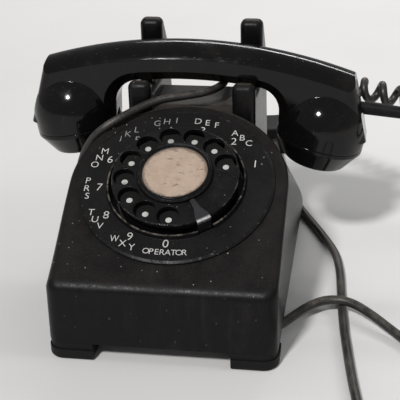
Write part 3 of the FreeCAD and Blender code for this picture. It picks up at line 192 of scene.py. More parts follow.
housing_finish = aged_moulding(
    "housing_black", black=(0.0040, 0.0039, 0.0044), dust=(0.14, 0.118, 0.10), cover=0.08, flat_cover=0.5,
    clean=0.3, dull=0.62, wave=0.0006)
dress(housing_finish, "housing")


# Base plate: painted sheet steel that closes the housing from below, held by screws.
# The paint is thin and dull, and rubbed to bare grey here and there.

def painted_steel(name, paint, bare):
    """Thin dull paint on sheet steel, rubbed in patches."""
    finish, tree, shader = new_finish(name)
    spot = places(tree)
    patches = mottle(tree, spot, scale=60.0, detail=6.0, roughness=0.65)
    rubbed = between(tree, patches, 0.62, 0.74, last=0.5)
    fine = mottle(tree, spot, scale=1400.0, detail=2.0)
    paler_paint = [1.25 * share for share in paint]
    coat = tint(tree, between(tree, fine, 0.2, 0.8), paint, paler_paint)
    tree.links.new(tint(tree, rubbed, coat, bare), shader.inputs["Base Color"])
    tree.links.new(between(tree, rubbed, 0.0, 0.5, first=0.1, last=0.6), shader.inputs["Metallic"])
    tree.links.new(between(tree, patches, 0.2, 0.8, first=0.42, last=0.6), shader.inputs["Roughness"])
    relief(tree, shader, fine, depth=0.00003, strength=0.6)
    return finish


plate_finish = painted_steel("plate_steel", paint=(0.035, 0.035, 0.037), bare=(0.22, 0.22, 0.22))
dress(plate_finish, "base_plate", "dial_frame", "governor_bracket", "hook_brackets", "hook_lever",
      "ringer_frame")


# Screws, shafts and posts: turned and drawn steel, bright once and now dull grey with a little brown in it.
# Drawing and turning leave fine lines, and the dirt sits in patches.

def bare_metal(name, metal, stain, low, high, lines, amount=0.35):
    """Drawn or turned metal with fine lines and a patchy stain."""
    finish, tree, shader = new_finish(name)
    patches = mottle(tree, places(tree), scale=150.0, detail=6.0, roughness=0.65)
    drawn = mottle(tree, places(tree, stretch=lines), scale=900.0, detail=2.0)
    stained = between(tree, patches, 0.48, 0.75, last=amount)
    darker_metal = [0.82 * share for share in metal]
    tone = tint(tree, between(tree, drawn, 0.3, 0.7), metal, darker_metal)
    tree.links.new(tint(tree, stained, tone, stain), shader.inputs["Base Color"])
    shader.inputs["Metallic"].default_value = 1.0
    shine = sum_up(tree, "ADD", between(tree, stained, 0.0, amount, first=low, last=high),
                   between(tree, drawn, 0.2, 0.8, first=-0.05, last=0.07))
    tree.links.new(shine, shader.inputs["Roughness"])
    relief(tree, shader, drawn, depth=0.00002, strength=0.5)
    return finish


steel_finish = bare_metal("bright_steel", metal=(0.42, 0.42, 0.43), stain=(0.16, 0.12, 0.09),
                          low=0.3, high=0.55, lines=(0.12, 1, 1))
dress(steel_finish, "base_screws", "dial_shaft", "dial_screws", "hook_shaft", "gong_posts",
      "terminal_screws")


# Feet: two moulded rubber feet in front and two behind, pressed onto the base plate.
# Rubber has a dull grain, goes grey with handling and picks up floor dirt at its edge.

def dull_rubber(name, rubber, bloom, grain, share):
    """Rubber with a fine grain, a grey bloom and dust on what faces up."""
    finish, tree, shader = new_finish(name)
    spot = places(tree)
    patches = mottle(tree, spot, scale=90.0, detail=6.0, roughness=0.65)
    fine = mottle(tree, spot, scale=grain, detail=3.0)
    bloomed = sum_up(tree, "MULTIPLY", between(tree, patches, 0.35, 0.75),
                     between(tree, fine, 0.3, 0.7, first=0.4))
    lying = between(tree, facing_up(tree), 0.1, 1.0, first=0.35)
    veil = sum_up(tree, "MULTIPLY", sum_up(tree, "MULTIPLY", bloomed, lying), share)
    tree.links.new(tint(tree, veil, rubber, bloom), shader.inputs["Base Color"])
    tree.links.new(between(tree, bloomed, 0.0, 1.0, first=0.5, last=0.75), shader.inputs["Roughness"])
    shader.inputs["Specular IOR Level"].default_value = 0.15
    relief(tree, shader, fine, depth=0.00006, strength=0.5)
    return finish


rubber_finish = dull_rubber("foot_rubber", rubber=(0.006, 0.0058, 0.006), bloom=(0.05, 0.046, 0.042),
                            grain=1100.0, share=0.35)
dress(rubber_finish, "front_feet", "rear_feet", "handset_cord_grommet", "handset_cord_boot",
      "line_cord_gland")


# Number ring: a black moulded ring round the finger wheel, screwed to the face.
# Fingers have rubbed its lower rim pale; the pale band on its inner lip is partly rubbed wear and partly a
# painted highlight.

dial_middle = Vector((0.0, -0.039, 0.0815))
dial_tilt = math.radians(26.0)
dial_place = Matrix.Translation(dial_middle) @ Euler((dial_tilt, 0, 0)).to_matrix().to_4x4()


def on_dial(tree):
    """Places on the dial: the distance from its axis, and how far across, along and above it."""
    spread = tree.nodes.new("ShaderNodeSeparateXYZ")
    tree.links.new(places(tree, middle=dial_middle, tilt=dial_tilt), spread.inputs["Vector"])
    across, along, above = spread.outputs
    square = sum_up(tree, "ADD", sum_up(tree, "MULTIPLY", across, across),
                    sum_up(tree, "MULTIPLY", along, along))
    return {"radius": sum_up(tree, "SQRT", square, 0.0), "across": across, "along": along, "above": above}


def rubbed_and_highlit_moulding(name, black, dust, cover, clean, pale, edges):
    """Aged moulding with pale rings at given radii and heights on the dial, standing for rubbed wear and for
    painted highlights along edges.
    """
    finish = aged_moulding(name, black, dust, cover, flat_cover=3 * cover, clean=clean,
                           dull=0.55, wave=0.0003)
    tree = finish.node_tree
    shader = tree.nodes["Principled BSDF"]
    skin = shader.inputs["Base Color"].links[0].from_socket
    dial = on_dial(tree)
    worn_and_highlit_patches = mottle(tree, places(tree), scale=190.0, detail=5.0, roughness=0.7)
    floor_blur = 0.0001
    patch_step = 0.22
    for edge in edges:
        low, high, floor, sharp = edge["low"], edge["high"], edge["floor"], edge["sharp"]
        band = sum_up(tree, "MULTIPLY", between(tree, dial["radius"], low - sharp, low + sharp),
                      between(tree, dial["radius"], high - sharp, high + sharp, first=1.0, last=0.0))
        band = sum_up(tree, "MULTIPLY", band,
                      between(tree, dial["above"], floor - floor_blur, floor + floor_blur))
        band = sum_up(tree, "MULTIPLY", band, between(
            tree, worn_and_highlit_patches, edge["start"], edge["start"] + patch_step, last=edge["share"]))
        # Each band lays the pale colour over the skin, as rubbed wear and as a painted highlight along an
        # edge.
        skin = tint(tree, band, skin, pale)
    tree.links.new(skin, shader.inputs["Base Color"])
    return finish


ring_finish = rubbed_and_highlit_moulding(
    "ring_black", black=(0.0050, 0.0049, 0.0054), dust=(0.11, 0.10, 0.095), cover=0.055, clean=0.28,
    pale=(0.21, 0.185, 0.155), edges=(
        # The inner lip band is partly rubbed wear and partly a painted highlight; the outer rim band is
        # rubbed wear.
        {"low": 0.0393, "high": 0.0404, "sharp": 0.00025, "floor": 0.0023, "start": 0.42, "share": 0.7},
        {"low": 0.0553, "high": 0.0568, "sharp": 0.0003, "floor": -0.0012, "start": 0.55, "share": 0.6}))
dress(ring_finish, "number_ring")


# Figures and letters: white paint printed flat on the ring, worn thin by fingers and dust.
# Each hole has its figure next to it, its three letters further out, and a word under the last.

figure_height = 0.0052
letter_height = 0.0043
word_height = 0.0036
widest_letter = 1.15
stroke_slimming = -0.008
print_thickness = 0.00004
figure_circle = 0.0450
figure_reach = {"1": 0.0472, "3": 0.0428, "4": 0.0424, "5": 0.0430, "0": 0.0437}
letter_across = 0.0522
letter_along = 0.0499
letter_drop = 0.0006
letter_step = math.radians(6.6)
letter_groups = ("", "WXY", "TUV", "PRS", "MNO", "JKL", "GHI", "DEF", "ABC", "")
lower_groups = 5
word = "OPERATOR"
word_middle = 0.0005
word_step = 0.0031
word_circle = 0.0496
word_bow = 0.4
hole_count = 10
hole_step = math.radians(360.0 / 13)
hole_circle = 0.0298
last_hole = math.radians(270.0)


def hole_angle(count):
    """Bearing of a hole on the dial, counted from the last figure."""
    return last_hole - count * hole_step


def printed(work, text, x, y, height):
    """Adds one printed figure or letter, upright on the dial."""
    shape = bpy.data.curves.new("printed", "FONT")
    shape.body = text
    shape.extrude = print_thickness
    shape.offset = stroke_slimming
    sign = bpy.data.meshes.new_from_object(bpy.data.objects.new("printed", shape))
    low = Vector([min(v.co[i] for v in sign.vertices) for i in range(3)])
    high = Vector([max(v.co[i] for v in sign.vertices) for i in range(3)])
    size = height / (high.y - low.y)
    narrowed = min(size, height * widest_letter / (high.x - low.x))
    centred = Matrix.Translation(-(low + high) / 2)
    spot = Matrix.Translation((x, y, print_thickness))
    sign.transform(dial_place @ spot @ Matrix.Diagonal((narrowed, size, 1, 1)) @ centred)
    work.from_mesh(sign)


def finished(work, name, finish, body):
    """A piece made from a finished mesh, riding on a body."""
    mesh = bpy.data.meshes.new(name)
    work.to_mesh(mesh)
    work.free()
    piece = bpy.data.objects.new(name, mesh)
    bpy.context.scene.collection.objects.link(piece)
    mesh.materials.append(finish)
    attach(piece, body)
    return piece


def worn_paint(name, paint, under):
    """White paint with thin and missing patches, and toned darker towards the dial's upper left."""
    finish, tree, shader = new_finish(name)
    spot = places(tree)
    chips = mottle(tree, spot, scale=420.0, detail=5.0, roughness=0.7)
    chipped = between(tree, chips, 0.52, 0.74, last=0.7)
    greyed = between(tree, mottle(tree, spot, scale=60.0), 0.3, 0.75, last=0.35)
    grey_paint = [0.5 * share for share in paint]
    dial = on_dial(tree)
    # The print is toned darker towards the dial's upper left.
    darker_upper_left = sum_up(tree, "MULTIPLY", between(tree, dial["across"], -0.005, 0.014, first=0.6, last=0.0),
                   between(tree, dial["along"], 0.02, 0.036))
    tone = tint(tree, darker_upper_left, tint(tree, greyed, paint, grey_paint), under)
    tree.links.new(tint(tree, chipped, tone, under), shader.inputs["Base Color"])
    tree.links.new(between(tree, chipped, 0.0, 0.7, first=0.55, last=0.4), shader.inputs["Roughness"])
    return finish


paint_finish = worn_paint("printed_white", paint=(0.62, 0.61, 0.58), under=(0.05, 0.05, 0.05))
print_work = bmesh.new()
for count, letters in enumerate(letter_groups):
    angle = hole_angle(count)
    figure = str(-count % hole_count)
    reach = figure_reach.get(figure, figure_circle)
    printed(print_work, figure, reach * math.cos(angle), reach * math.sin(angle), figure_height)
    for place, letter in enumerate(letters):
        turn = angle + (place - 1) * letter_step * (1 if count < lower_groups else -1)
        printed(print_work, letter, letter_across * math.cos(turn),
                letter_along * math.sin(turn) - letter_drop, letter_height)
for place, letter in enumerate(word):
    across = word_middle + (place - (len(word) - 1) / 2) * word_step
    printed(print_work, letter, across, -math.sqrt(word_circle ** 2 - across ** 2 * word_bow), word_height)
finished(print_work, "ring_print", paint_finish, "base")


# Dot plate: a black plate below the wheel with a white dot under each hole, to show that the wheel is home.
# The dots are painted on and nearly as worn as the figures.

dot_finish = aged_moulding(
    "dot_black", black=(0.006, 0.006, 0.006), dust=(0.06, 0.055, 0.05), cover=0.12, flat_cover=0.3,
    clean=0.5, dull=0.7, wave=0.0002)
dress(dot_finish, "dot_plate")
dot_radius = 0.0018
dot_sides = 28
dot_height = 0.00006
dot_floor = 0.0033
dots_work = bmesh.new()
for count in range(hole_count):
    angle = hole_angle(count)
    spot = (hole_circle * math.cos(angle), hole_circle * math.sin(angle), dot_floor)
    disc = bmesh.ops.create_circle(dots_work, cap_ends=True, segments=dot_sides, radius=dot_radius,
                                   matrix=dial_place @ Matrix.Translation(spot))
    face = disc["verts"][0].link_faces[0]
    raised = bmesh.ops.extrude_face_region(dots_work, geom=[face])
    lifted = [part for part in raised["geom"] if isinstance(part, bmesh.types.BMVert)]
    bmesh.ops.translate(dots_work, verts=lifted, vec=dial_place.to_3x3() @ Vector((0, 0, dot_height)))
bmesh.ops.recalc_face_normals(dots_work, faces=dots_work.faces)
finished(dots_work, "white_dots", paint_finish, "base")


# Finger wheel: a glossy black moulding with ten holes and a raised hub, standing proud of the number ring.
# The card's clamping ring is the same stuff, and so are the cradle's plungers; pale bands on the wheel's rim
# and on the clamping ring's edge are painted highlights.

wheel_finish = rubbed_and_highlit_moulding(
    "wheel_black", black=(0.0045, 0.0044, 0.0047), dust=(0.10, 0.092, 0.085), cover=0.05, clean=0.13,
    pale=(0.11, 0.105, 0.1), edges=(
        # Both bands are painted highlights: one on the wheel's rim, one on the edge of the clamping ring
        # round the card.
        {"low": 0.0364, "high": 0.0372, "sharp": 0.0002, "floor": 0.0072, "start": 0.45, "share": 0.5},
        {"low": 0.0209, "high": 0.0226, "sharp": 0.0003, "floor": 0.0102, "start": 0.5, "share": 0.4}))
dress(wheel_finish, "finger_wheel", "card_ring", "plungers")


# Centre card: a disc of pale card, gone pinkish brown with age and darker at its rim.
# It lies bare under a clear plastic disc; both are clamped in the hub.

card_rim = 0.0180
browned_width = 0.0016


def aged_card(name, card, stain, smudge, rim):
    """Card with fibres, blotchy stains, grey smudges, brown spots and a browned rim."""
    finish, tree, shader = new_finish(name)
    spot = places(tree)
    blotch = between(tree, mottle(tree, spot, scale=95.0, detail=6.0, roughness=0.65), 0.42, 0.75, last=0.5)
    fibres = mottle(tree, places(tree, stretch=(1, 0.35, 1)), scale=1500.0, detail=3.0)
    tone = tint(tree, blotch, card, stain)
    tone = tint(tree, between(tree, fibres, 0.25, 0.8, last=0.14), tone, stain)
    specks = mottle(tree, places(tree, stretch=(0.45, 1, 1)), scale=330.0, detail=3.0)
    tone = tint(tree, between(tree, specks, 0.61, 0.70, last=0.75), tone, rim)
    marks = mottle(tree, places(tree, stretch=(0.7, 1, 1)), scale=480.0, detail=5.0, roughness=0.7)
    tone = tint(tree, between(tree, marks, 0.55, 0.68, last=0.5), tone, smudge)
    ragged = between(tree, mottle(tree, spot, scale=260.0), 0.3, 0.7, first=-0.0009, last=0.0006)
    edge = sum_up(tree, "ADD", on_dial(tree)["radius"], ragged)
    tone = tint(tree, between(tree, edge, card_rim - browned_width, card_rim, last=0.75), tone, rim)
    tree.links.new(tone, shader.inputs["Base Color"])
    tree.links.new(between(tree, fibres, 0.2, 0.8, first=0.7, last=0.9), shader.inputs["Roughness"])
    relief(tree, shader, fibres, depth=0.00003, strength=0.5)
    return finish


card_finish = aged_card("card_paper", card=(0.45, 0.33, 0.25), stain=(0.30, 0.19, 0.12),
                        smudge=(0.17, 0.13, 0.12), rim=(0.10, 0.058, 0.032))
dress(card_finish, "dial_card")


# Clear cover: a thin disc of clear plastic just above the card, faintly yellow and finely scratched.
# It shows the card and adds a soft shine.

cover_radius = 0.0189
cover_low = 0.00957
cover_high = 0.0103
cover_sides = 96
cover_finish, cover_tree, cover_shader = new_finish("cover_clear")
scratches = mottle(cover_tree, places(cover_tree), scale=700.0)
cover_tree.links.new(between(cover_tree, scratches, 0.45, 0.75, first=0.12, last=0.32),
                     cover_shader.inputs["Roughness"])
cover_tree.links.new(
    tint(cover_tree, between(cover_tree, scratches, 0.6, 0.8), (0.78, 0.74, 0.66), (0.9, 0.88, 0.84)),
    cover_shader.inputs["Base Color"])
cover_shader.inputs["Alpha"].default_value = 0.05
cover_shader.inputs["IOR"].default_value = 1.49
cover_work = bmesh.new()
bmesh.ops.create_cone(cover_work, cap_ends=True, segments=cover_sides, radius1=cover_radius,
                      radius2=cover_radius, depth=cover_high - cover_low,
                      matrix=dial_place @ Matrix.Translation((0, 0, (cover_low + cover_high) / 2)))
bmesh.ops.recalc_face_normals(cover_work, faces=cover_work.faces)
clear_cover = finished(cover_work, "clear_cover", cover_finish, "dial_wheel")
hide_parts("card_cover")


# Finger stop: a strip of spring steel that stands on the dial frame, passes a notch in the ring and bends
# over the wheel. Its plating has worn to dull grey, and a bright band along its bend is a painted highlight.

stop_bend = 0.0385
stop_bend_width = 0.0012
stop_bend_height = 0.0086
stop_bend_depth = 0.0016
stop_finish = bare_metal("stop_steel", metal=(0.115, 0.115, 0.12), stain=(0.05, 0.047, 0.044),
                         low=0.36, high=0.55, lines=(1, 0.1, 1), amount=0.6)
stop_tree = stop_finish.node_tree
stop_colour = stop_tree.nodes["Principled BSDF"].inputs["Base Color"]
stop_skin = stop_colour.links[0].from_socket
stop_dial = on_dial(stop_tree)
# A bright band painted along the bend, where the strip curves over the wheel, stands in for a highlight.
painted_bend_highlight = sum_up(
    stop_tree, "MULTIPLY",
    between(stop_tree, stop_dial["radius"], stop_bend - stop_bend_width, stop_bend),
    between(stop_tree, stop_dial["above"], stop_bend_height - stop_bend_depth, stop_bend_height))
stop_tree.links.new(tint(stop_tree, painted_bend_highlight, stop_skin, (0.9, 0.89, 0.87)), stop_colour)
dress(stop_finish, "finger_stop")


# Dial works: brass gear, cam, governor and posts behind the dial, with springs of nickel silver.
# They are cut and stamped, left bare, and have browned a little.

brass_finish = bare_metal("works_brass", metal=(0.55, 0.38, 0.14), stain=(0.2, 0.12, 0.05),
                          low=0.28, high=0.5, lines=(1, 1, 0.15))
dress(brass_finish, "dial_gear", "pulse_cam", "governor", "dial_posts", "contact_ring", "plug_pins",
      "clapper")
spring_finish = bare_metal("spring_silver", metal=(0.52, 0.49, 0.42), stain=(0.25, 0.21, 0.15),
                           low=0.25, high=0.45, lines=(0.15, 1, 1))
dress(spring_finish, "contact_springs", "switch_springs", "gong_large", "gong_small")


# Ringer coils: fine wire wound on bobbins and wrapped in red-brown cloth tape.
# The tape shows its threads and the lap of each turn.

coil_finish, coil_tree, coil_shader = new_finish("coil_cloth")
threads = mottle(coil_tree, places(coil_tree, stretch=(1, 0.12, 1)), scale=1600.0, detail=2.0)
laps = mottle(coil_tree, places(coil_tree, stretch=(0.2, 1, 0.2)), scale=260.0, detail=2.0)
coil_tree.links.new(
    tint(coil_tree, sum_up(coil_tree, "MULTIPLY", threads, laps), (0.24, 0.075, 0.045), (0.10, 0.035, 0.02)),
    coil_shader.inputs["Base Color"])
coil_tree.links.new(between(coil_tree, threads, 0.2, 0.8, first=0.75, last=0.92),
                    coil_shader.inputs["Roughness"])
relief(coil_tree, coil_shader, threads, depth=0.0001)
dress(coil_finish, "ringer_coils")


# Network block: brown moulded resin that carries the terminals, with a filler that shows as fine flecks.
# It comes out of the mould with a slight shine.

block_finish, block_tree, block_shader = new_finish("block_brown")
flecks = mottle(block_tree, places(block_tree), scale=700.0, roughness=0.7)
block_tree.links.new(
    tint(block_tree, between(block_tree, flecks, 0.35, 0.75), (0.09, 0.042, 0.02), (0.2, 0.11, 0.055)),
    block_shader.inputs["Base Color"])
block_tree.links.new(between(block_tree, flecks, 0.2, 0.8, first=0.35, last=0.5),
                     block_shader.inputs["Roughness"])
relief(block_tree, block_shader, flecks, depth=0.00004, strength=0.6)
dress(block_finish, "network_block")


# Handset: handle and screw-on caps of polished black moulding, heavier and shinier than the housing.
# Hands keep it clean, so it has fine scratches and brown grime at the ends instead of dust.

def polished_moulding(name, black, grime, clean, dull):
    """Polished black plastic with hairline scratches, hand grime and a little lint."""
    finish, tree, shader = new_finish(name)
    spot = places(tree)
    patches = mottle(tree, spot, scale=34.0, detail=6.0, roughness=0.65)
    hairs = mottle(tree, places(tree, stretch=(0.1, 1, 1)), scale=1500.0, detail=2.0)
    crossed = mottle(tree, places(tree, stretch=(1, 1, 0.08)), scale=1200.0, detail=2.0)
    scratched = sum_up(tree, "MAXIMUM", between(tree, hairs, 0.66, 0.8), between(tree, crossed, 0.68, 0.8))
    dirty = between(tree, patches, 0.48, 0.78, last=0.45)
    lint = sum_up(tree, "MULTIPLY",
                  between(tree, mottle(tree, spot, scale=600.0, detail=1.0), 0.76, 0.8, last=0.6),
                  between(tree, facing_up(tree), 0.2, 0.9))
    pale = sum_up(tree, "MAXIMUM", lint, sum_up(tree, "MULTIPLY", scratched, 0.12))
    skin = tint(tree, pale, tint(tree, dirty, black, grime), (0.22, 0.21, 0.2))
    tree.links.new(skin, shader.inputs["Base Color"])
    shine = sum_up(tree, "ADD", between(tree, dirty, 0.0, 0.45, first=clean, last=dull),
                   sum_up(tree, "MULTIPLY", scratched, 0.16))
    tree.links.new(shine, shader.inputs["Roughness"])
    shader.inputs["Specular IOR Level"].default_value = 0.26
    swell = mottle(tree, spot, scale=30.0, detail=2.0)
    wave = relief(tree, shader, swell, depth=0.0004, under=eased(tree, radius=0.0009))
    relief(tree, shader, hairs, depth=0.000012, strength=0.5, under=wave)
    return finish


handset_finish = polished_moulding(
    "handset_black", black=(0.0036, 0.0035, 0.0040), grime=(0.020, 0.016, 0.012), clean=0.1, dull=0.3)
dress(handset_finish, "handset_handle", "receiver_cap", "transmitter_cap")


# Receiver and transmitter units: flat metal capsules inside the caps, spun from sheet and left satin.
# Only a little of them shows through the holes.

unit_finish = bare_metal("unit_metal", metal=(0.48, 0.48, 0.49), stain=(0.2, 0.19, 0.17),
                         low=0.32, high=0.5, lines=(1, 1, 0.2))
dress(unit_finish, "receiver_unit", "transmitter_unit")


# Handset cord: limp rubber-covered cord that climbs the side, lies over the cradle and curls away behind.
# It comes out of an elbow on the left wall, and ends in the boot on the handset's right end.

cord_diameter = 0.0052
lead_route = (
    (-0.0756, 0.021, 0.036), (-0.0735, 0.0135, 0.051), (-0.0705, 0.007, 0.067), (-0.0645, 0.0015, 0.083),
    (-0.0555, -0.0025, 0.096), (-0.0445, 0.0004, 0.103), (-0.033, 0.0096, 0.1074),
    (-0.0205, 0.0168, 0.1116), (-0.006, 0.0204, 0.113), (0.0075, 0.0266, 0.1136), (0.015, 0.038, 0.1132),
    (0.017, 0.053, 0.1124), (0.016, 0.069, 0.112), (0.0155, 0.084, 0.108), (0.0185, 0.097, 0.1024),
    (0.026, 0.1065, 0.0986),
)
curl_route = (
    (0.036, 0.111, 0.0983), (0.050, 0.1173, 0.09788), (0.066, 0.112, 0.098), (0.082, 0.0995, 0.0982),
    (0.098, 0.086, 0.0986), (0.117, 0.0785, 0.0976), (0.137, 0.076, 0.094), (0.157, 0.076, 0.0845),
    (0.1735, 0.075, 0.0695), (0.185, 0.0705, 0.0525), (0.1945, 0.0615, 0.0415), (0.203, 0.050, 0.044),
    (0.207, 0.044, 0.0545), (0.2015, 0.0428, 0.066), (0.1935, 0.0436, 0.0745),
)
stub_route = (
    (0.1863, 0.04432, 0.08215), (0.175, 0.045, 0.0883), (0.1625, 0.045, 0.0923),
    (0.15001, 0.045, 0.09467), (0.14108, 0.045, 0.095771),
)
curl_turns = 19
curl_radius = 0.0056
axis_steps = 32
cord_steps = 4
cord_roundness = 4
least_step = 0.0001


def points_of(route):
    """The points of a route, ready for sums."""
    return [Vector(point) for point in route]


def open_line(name, points, smoothness):
    """A curve of one smooth open line with the given points as its control points."""
    shape = bpy.data.curves.new(name, "CURVE")
    shape.dimensions = "3D"
    line = shape.splines.new("NURBS")
    line.points.add(len(points) - 1)
    for place, point in zip(line.points, points):
        place.co = (*point, 1.0)
    line.order_u = 3
    line.use_endpoint_u = True
    line.resolution_u = smoothness
    shape.resolution_u = smoothness
    return shape


def thicken(shape, diameter):
    """Makes a line into a round closed-ended tube."""
    shape.bevel_depth = diameter / 2
    shape.bevel_resolution = cord_roundness
    shape.use_fill_caps = True


def read_along(shape):
    """Points read along a line that has no thickness yet."""
    line = bpy.data.meshes.new_from_object(bpy.data.objects.new(shape.name, shape))
    read = [vertex.co.copy() for vertex in line.vertices]
    return [read[0]] + [there for here, there in zip(read, read[1:]) if (there - here).length > least_step]


def ease(share):
    """A smooth step from none to all."""
    share = min(max(share, 0.0), 1.0)
    return share * share * (3 - 2 * share)


def curled(axis):
    """Curls wound round an axis line, opening out of it and closing into it over one turn."""
    run = [0.0]
    for here, there in zip(axis, axis[1:]):
        run.append(run[-1] + (there - here).length)
    side = (axis[1] - axis[0]).cross(Vector((0, 0, 1))).normalized()
    wound = []
    for i, middle in enumerate(axis):
        ahead = (axis[min(i + 1, len(axis) - 1)] - axis[max(i - 1, 0)]).normalized()
        side = (side - ahead * side.dot(ahead)).normalized()
        up = side.cross(ahead)
        share = (run[i] - cord_diameter) / (run[-1] - 2 * cord_diameter)
        turns = min(max(share, 0.0), 1.0) * curl_turns
        radius = curl_radius * ease(turns) * ease(curl_turns - turns)
        turn = 2 * math.pi * turns
        wound.append(middle + up * (radius * math.cos(turn)) + side * (radius * math.sin(turn)))
    return wound


def dusty_cord(name, rubber, dust):
    """Dull rubber cord cover, dusty on top and slightly uneven."""
    finish, tree, shader = new_finish(name)
    spot = places(tree)
    patches = mottle(tree, spot, scale=70.0, detail=6.0, roughness=0.65)
    fine = mottle(tree, spot, scale=1000.0, detail=3.0)
    lying = between(tree, facing_up(tree), -0.2, 1.0, first=0.12)
    settled = sum_up(tree, "MULTIPLY", lying, between(tree, patches, 0.38, 0.66, first=0.2))
    settled = sum_up(tree, "MULTIPLY", settled, between(tree, fine, 0.36, 0.64, first=0.3))
    veil = sum_up(tree, "MULTIPLY", settled, 0.55)
    tree.links.new(tint(tree, veil, rubber, dust), shader.inputs["Base Color"])
    tree.links.new(between(tree, settled, 0.0, 1.0, first=0.38, last=0.7), shader.inputs["Roughness"])
    shader.inputs["Specular IOR Level"].default_value = 0.45
    relief(tree, shader, fine, depth=0.00005, strength=0.6)
    return finish


cord_finish = dusty_cord("cord_black", rubber=(0.012, 0.0115, 0.011), dust=(0.19, 0.165, 0.14))
curl_axis = read_along(open_line("curl_axis", curl_route, axis_steps))
handset_line = open_line(
    "handset_line", points_of(lead_route) + curled(curl_axis) + points_of(stub_route), cord_steps)
handset_path = read_along(handset_line)
thicken(handset_line, cord_diameter)
cord_mesh = bpy.data.meshes.new_from_object(bpy.data.objects.new("cord_tube", handset_line))
cord_mesh.shade_smooth()
cord_mesh.materials.clear()
cord_mesh.materials.append(cord_finish)
handset_cord = bpy.data.objects.new("handset_cord", cord_mesh)
bpy.context.scene.collection.objects.link(handset_cord)
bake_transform(handset_cord)
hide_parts("handset_cord_lead", "handset_cord_curl", "handset_cord_stub")


# Line cord: the lead to the wall, round and rubber-covered, coming out under the right front corner.
# It loops over the shelf, and what is left is wound up behind the telephone in a tied coil of two layers.

line_diameter = 0.0054
line_route = (
    (0.0593, -0.072, 0.0067), (0.063, -0.0662, 0.0067), (0.0686, -0.0574, 0.0068), (0.0764, -0.0463, 0.0076),
    (0.087, -0.038, 0.0088), (0.1005, -0.038, 0.009), (0.113, -0.0475, 0.0074), (0.127, -0.062, 0.0046),
    (0.1415, -0.079, 0.0029), (0.157, -0.099, 0.0028), (0.166, -0.127, 0.0028), (0.158, -0.156, 0.0028),
    (0.134, -0.168, 0.0028), (0.113, -0.154, 0.0028), (0.108, -0.129, 0.0028), (0.1045, -0.105, 0.0028),
    (0.1015, -0.080, 0.0028), (0.099, -0.058, 0.0028), (0.0975, -0.038, 0.0028), (0.096, -0.016, 0.0028),
    (0.0946, 0.008, 0.0028), (0.091, 0.032, 0.0028), (0.083, 0.053, 0.0028), (0.073, 0.076, 0.0028),
    (0.063, 0.098, 0.0028), (0.054, 0.122, 0.0032), (0.0465, 0.142, 0.0042), (0.0433, 0.156, 0.0042),
)
coil_middle = Vector((0.002013, 0.153196, 0.0042))
coil_tail = Vector((0.035228, 0.200670, 0.0109))
coil_turns = 7
coil_pitch = 0.0067
coil_outer = 0.04089
coil_start = math.radians(11.38)
coil_layer = 3.25
climb_turns = 0.5
climb_dip = 0.5
coil_inner = coil_outer - coil_pitch * coil_layer
points_per_turn = 24
line_steps = 6

coil_points = []
for step in range(coil_turns * points_per_turn + 1):
    turns = step / points_per_turn
    climb = min(max((turns - coil_layer) / climb_turns, 0.0), 1.0)
    radius = coil_outer - coil_pitch * turns
    if turns > coil_layer:
        radius = coil_inner - coil_pitch * climb_dip * climb * (1 - climb)
    if climb >= 1:
        radius = coil_inner + coil_pitch * (turns - coil_layer - climb_turns)
    turn = coil_start + 2 * math.pi * turns
    away = Vector((radius * math.cos(turn), radius * math.sin(turn), coil_pitch * ease(climb)))
    coil_points.append(coil_middle + away)
half_tail = coil_points[-1].lerp(coil_tail, 0.5)
line_shape = open_line(
    "line_cord_run", points_of(line_route) + coil_points + [half_tail, coil_tail], line_steps)
thicken(line_shape, line_diameter)
line_shape.materials.append(cord_finish)
line_lead = bpy.data.objects.new("line_cord_run", line_shape)
bpy.context.scene.collection.objects.link(line_lead)
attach(line_lead, "base")
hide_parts("line_cord", "line_cord_coil")


# Tie and plug: a soft strap round the coil, and a four-pin wall plug of black moulding.
# The plug has a slightly grained skin from its mould, and the volume wheel is the same stuff.

tie_finish = dull_rubber("tie_black", rubber=(0.014, 0.014, 0.014), bloom=(0.06, 0.058, 0.055),
                         grain=1500.0, share=0.35)
dress(tie_finish, "coil_tie")
plug_finish = aged_moulding(
    "plug_black", black=(0.007, 0.0068, 0.007), dust=(0.09, 0.085, 0.08), cover=0.1, flat_cover=0.25,
    clean=0.3, dull=0.55, wave=0.0003)
dress(plug_finish, "line_plug", "volume_wheel")


# Floor: a plain pale sheet that runs out of sight on all sides.
# It has a faint unevenness so that the shadow looks soft.

floor_reach = 15.0
floor_work = bmesh.new()
bmesh.ops.create_grid(floor_work, x_segments=2, y_segments=2, size=floor_reach)
floor_mesh = bpy.data.meshes.new("floor")
floor_work.to_mesh(floor_mesh)
floor_work.free()
floor = bpy.data.objects.new("floor", floor_mesh)
bpy.context.scene.collection.objects.link(floor)
floor_finish, floor_tree, floor_shader = new_finish("pale_floor")
cloudy = mottle(floor_tree, places(floor_tree), scale=4.0, detail=3.0)
floor_tree.links.new(
    tint(floor_tree, between(floor_tree, cloudy, 0.3, 0.7), (0.70, 0.69, 0.675), (0.73, 0.72, 0.705)),
    floor_shader.inputs["Base Color"])
floor_shader.inputs["Roughness"].default_value = 0.6
floor_mesh.materials.append(floor_finish)


# Light: a key light from high in front on the left, a strip behind and a side lamp at the right.
# The room itself gives a dim even light and shows as a plain pale backdrop.

def aimed(name, lamp, spot, aim, mirrored=True):
    """Puts a lamp in the scene, looking at a point, seen or not in shiny surfaces."""
    holder = bpy.data.objects.new(name, lamp)
    holder.location = spot
    holder.rotation_euler = (Vector(aim) - Vector(spot)).to_track_quat("-Z", "Y").to_euler()
    holder.visible_glossy = mirrored
    bpy.context.scene.collection.objects.link(holder)


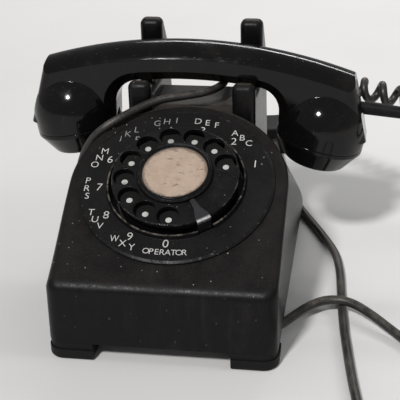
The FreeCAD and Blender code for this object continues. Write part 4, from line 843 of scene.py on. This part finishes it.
def soft_lamp(name, spot, aim, width, height, power, mirrored=True):
    """A flat soft lamp that looks at a point."""
    lamp = bpy.data.lights.new(name, "AREA")
    lamp.shape = "ELLIPSE"
    lamp.size = width
    lamp.size_y = height
    lamp.energy = power
    aimed(name, lamp, spot, aim, mirrored)


key = bpy.data.lights.new("key", "SUN")
key.energy = 2.5
key.angle = math.radians(7.0)
aimed("key", key, spot=(-0.3, -0.92, 1.08), aim=(0.0, 0.0, 0.06))
soft_lamp("rear_strip", spot=(0.1, 1.0, 0.85), aim=(0.0, 0.05, 0.12), width=1.0, height=0.08, power=4.0)
soft_lamp("right_side", spot=(1.05, -0.1, 0.75), aim=(0.05, 0.0, 0.06), width=0.35, height=0.5, power=2.8,
          mirrored=False)
room_light = 0.26
backdrop_light = 0.85
room = bpy.data.worlds.new("room")
room.use_nodes = True
air = room.node_tree.nodes["Background"]
air.inputs["Color"].default_value = (0.95, 0.96, 0.98, 1.0)
seen = room.node_tree.nodes.new("ShaderNodeLightPath").outputs["Is Camera Ray"]
feed(room.node_tree, air.inputs["Strength"],
     between(room.node_tree, seen, 0.0, 1.0, first=room_light, last=backdrop_light))
bpy.context.scene.world = room


# Camera: stands a little right of the middle and looks down on the dial.
# It has no shift and no blur.

bearing = math.radians(9.36)
height_angle = math.radians(25.24)
roll = math.radians(-1.55)
level = Vector((math.cos(bearing), math.sin(bearing), 0.0))
facing = Vector((math.sin(bearing), -math.cos(bearing), 0.0))
back = facing * math.cos(height_angle) + Vector((0.0, 0.0, math.sin(height_angle)))
upright = level.cross(-back)
sideways = math.cos(roll) * level + math.sin(roll) * upright
upward = -math.sin(roll) * level + math.cos(roll) * upright
eye = bpy.data.cameras.new("eye")
eye.lens = 99.0
eye.sensor_width = 36.0
eye.clip_start = 0.01
stand = bpy.data.objects.new("eye", eye)
stand.matrix_world = Matrix((sideways, upward, back)).transposed().to_4x4()
stand.location = (0.10742, -0.60889, 0.34355)
bpy.context.scene.collection.objects.link(stand)
bpy.context.scene.camera = stand
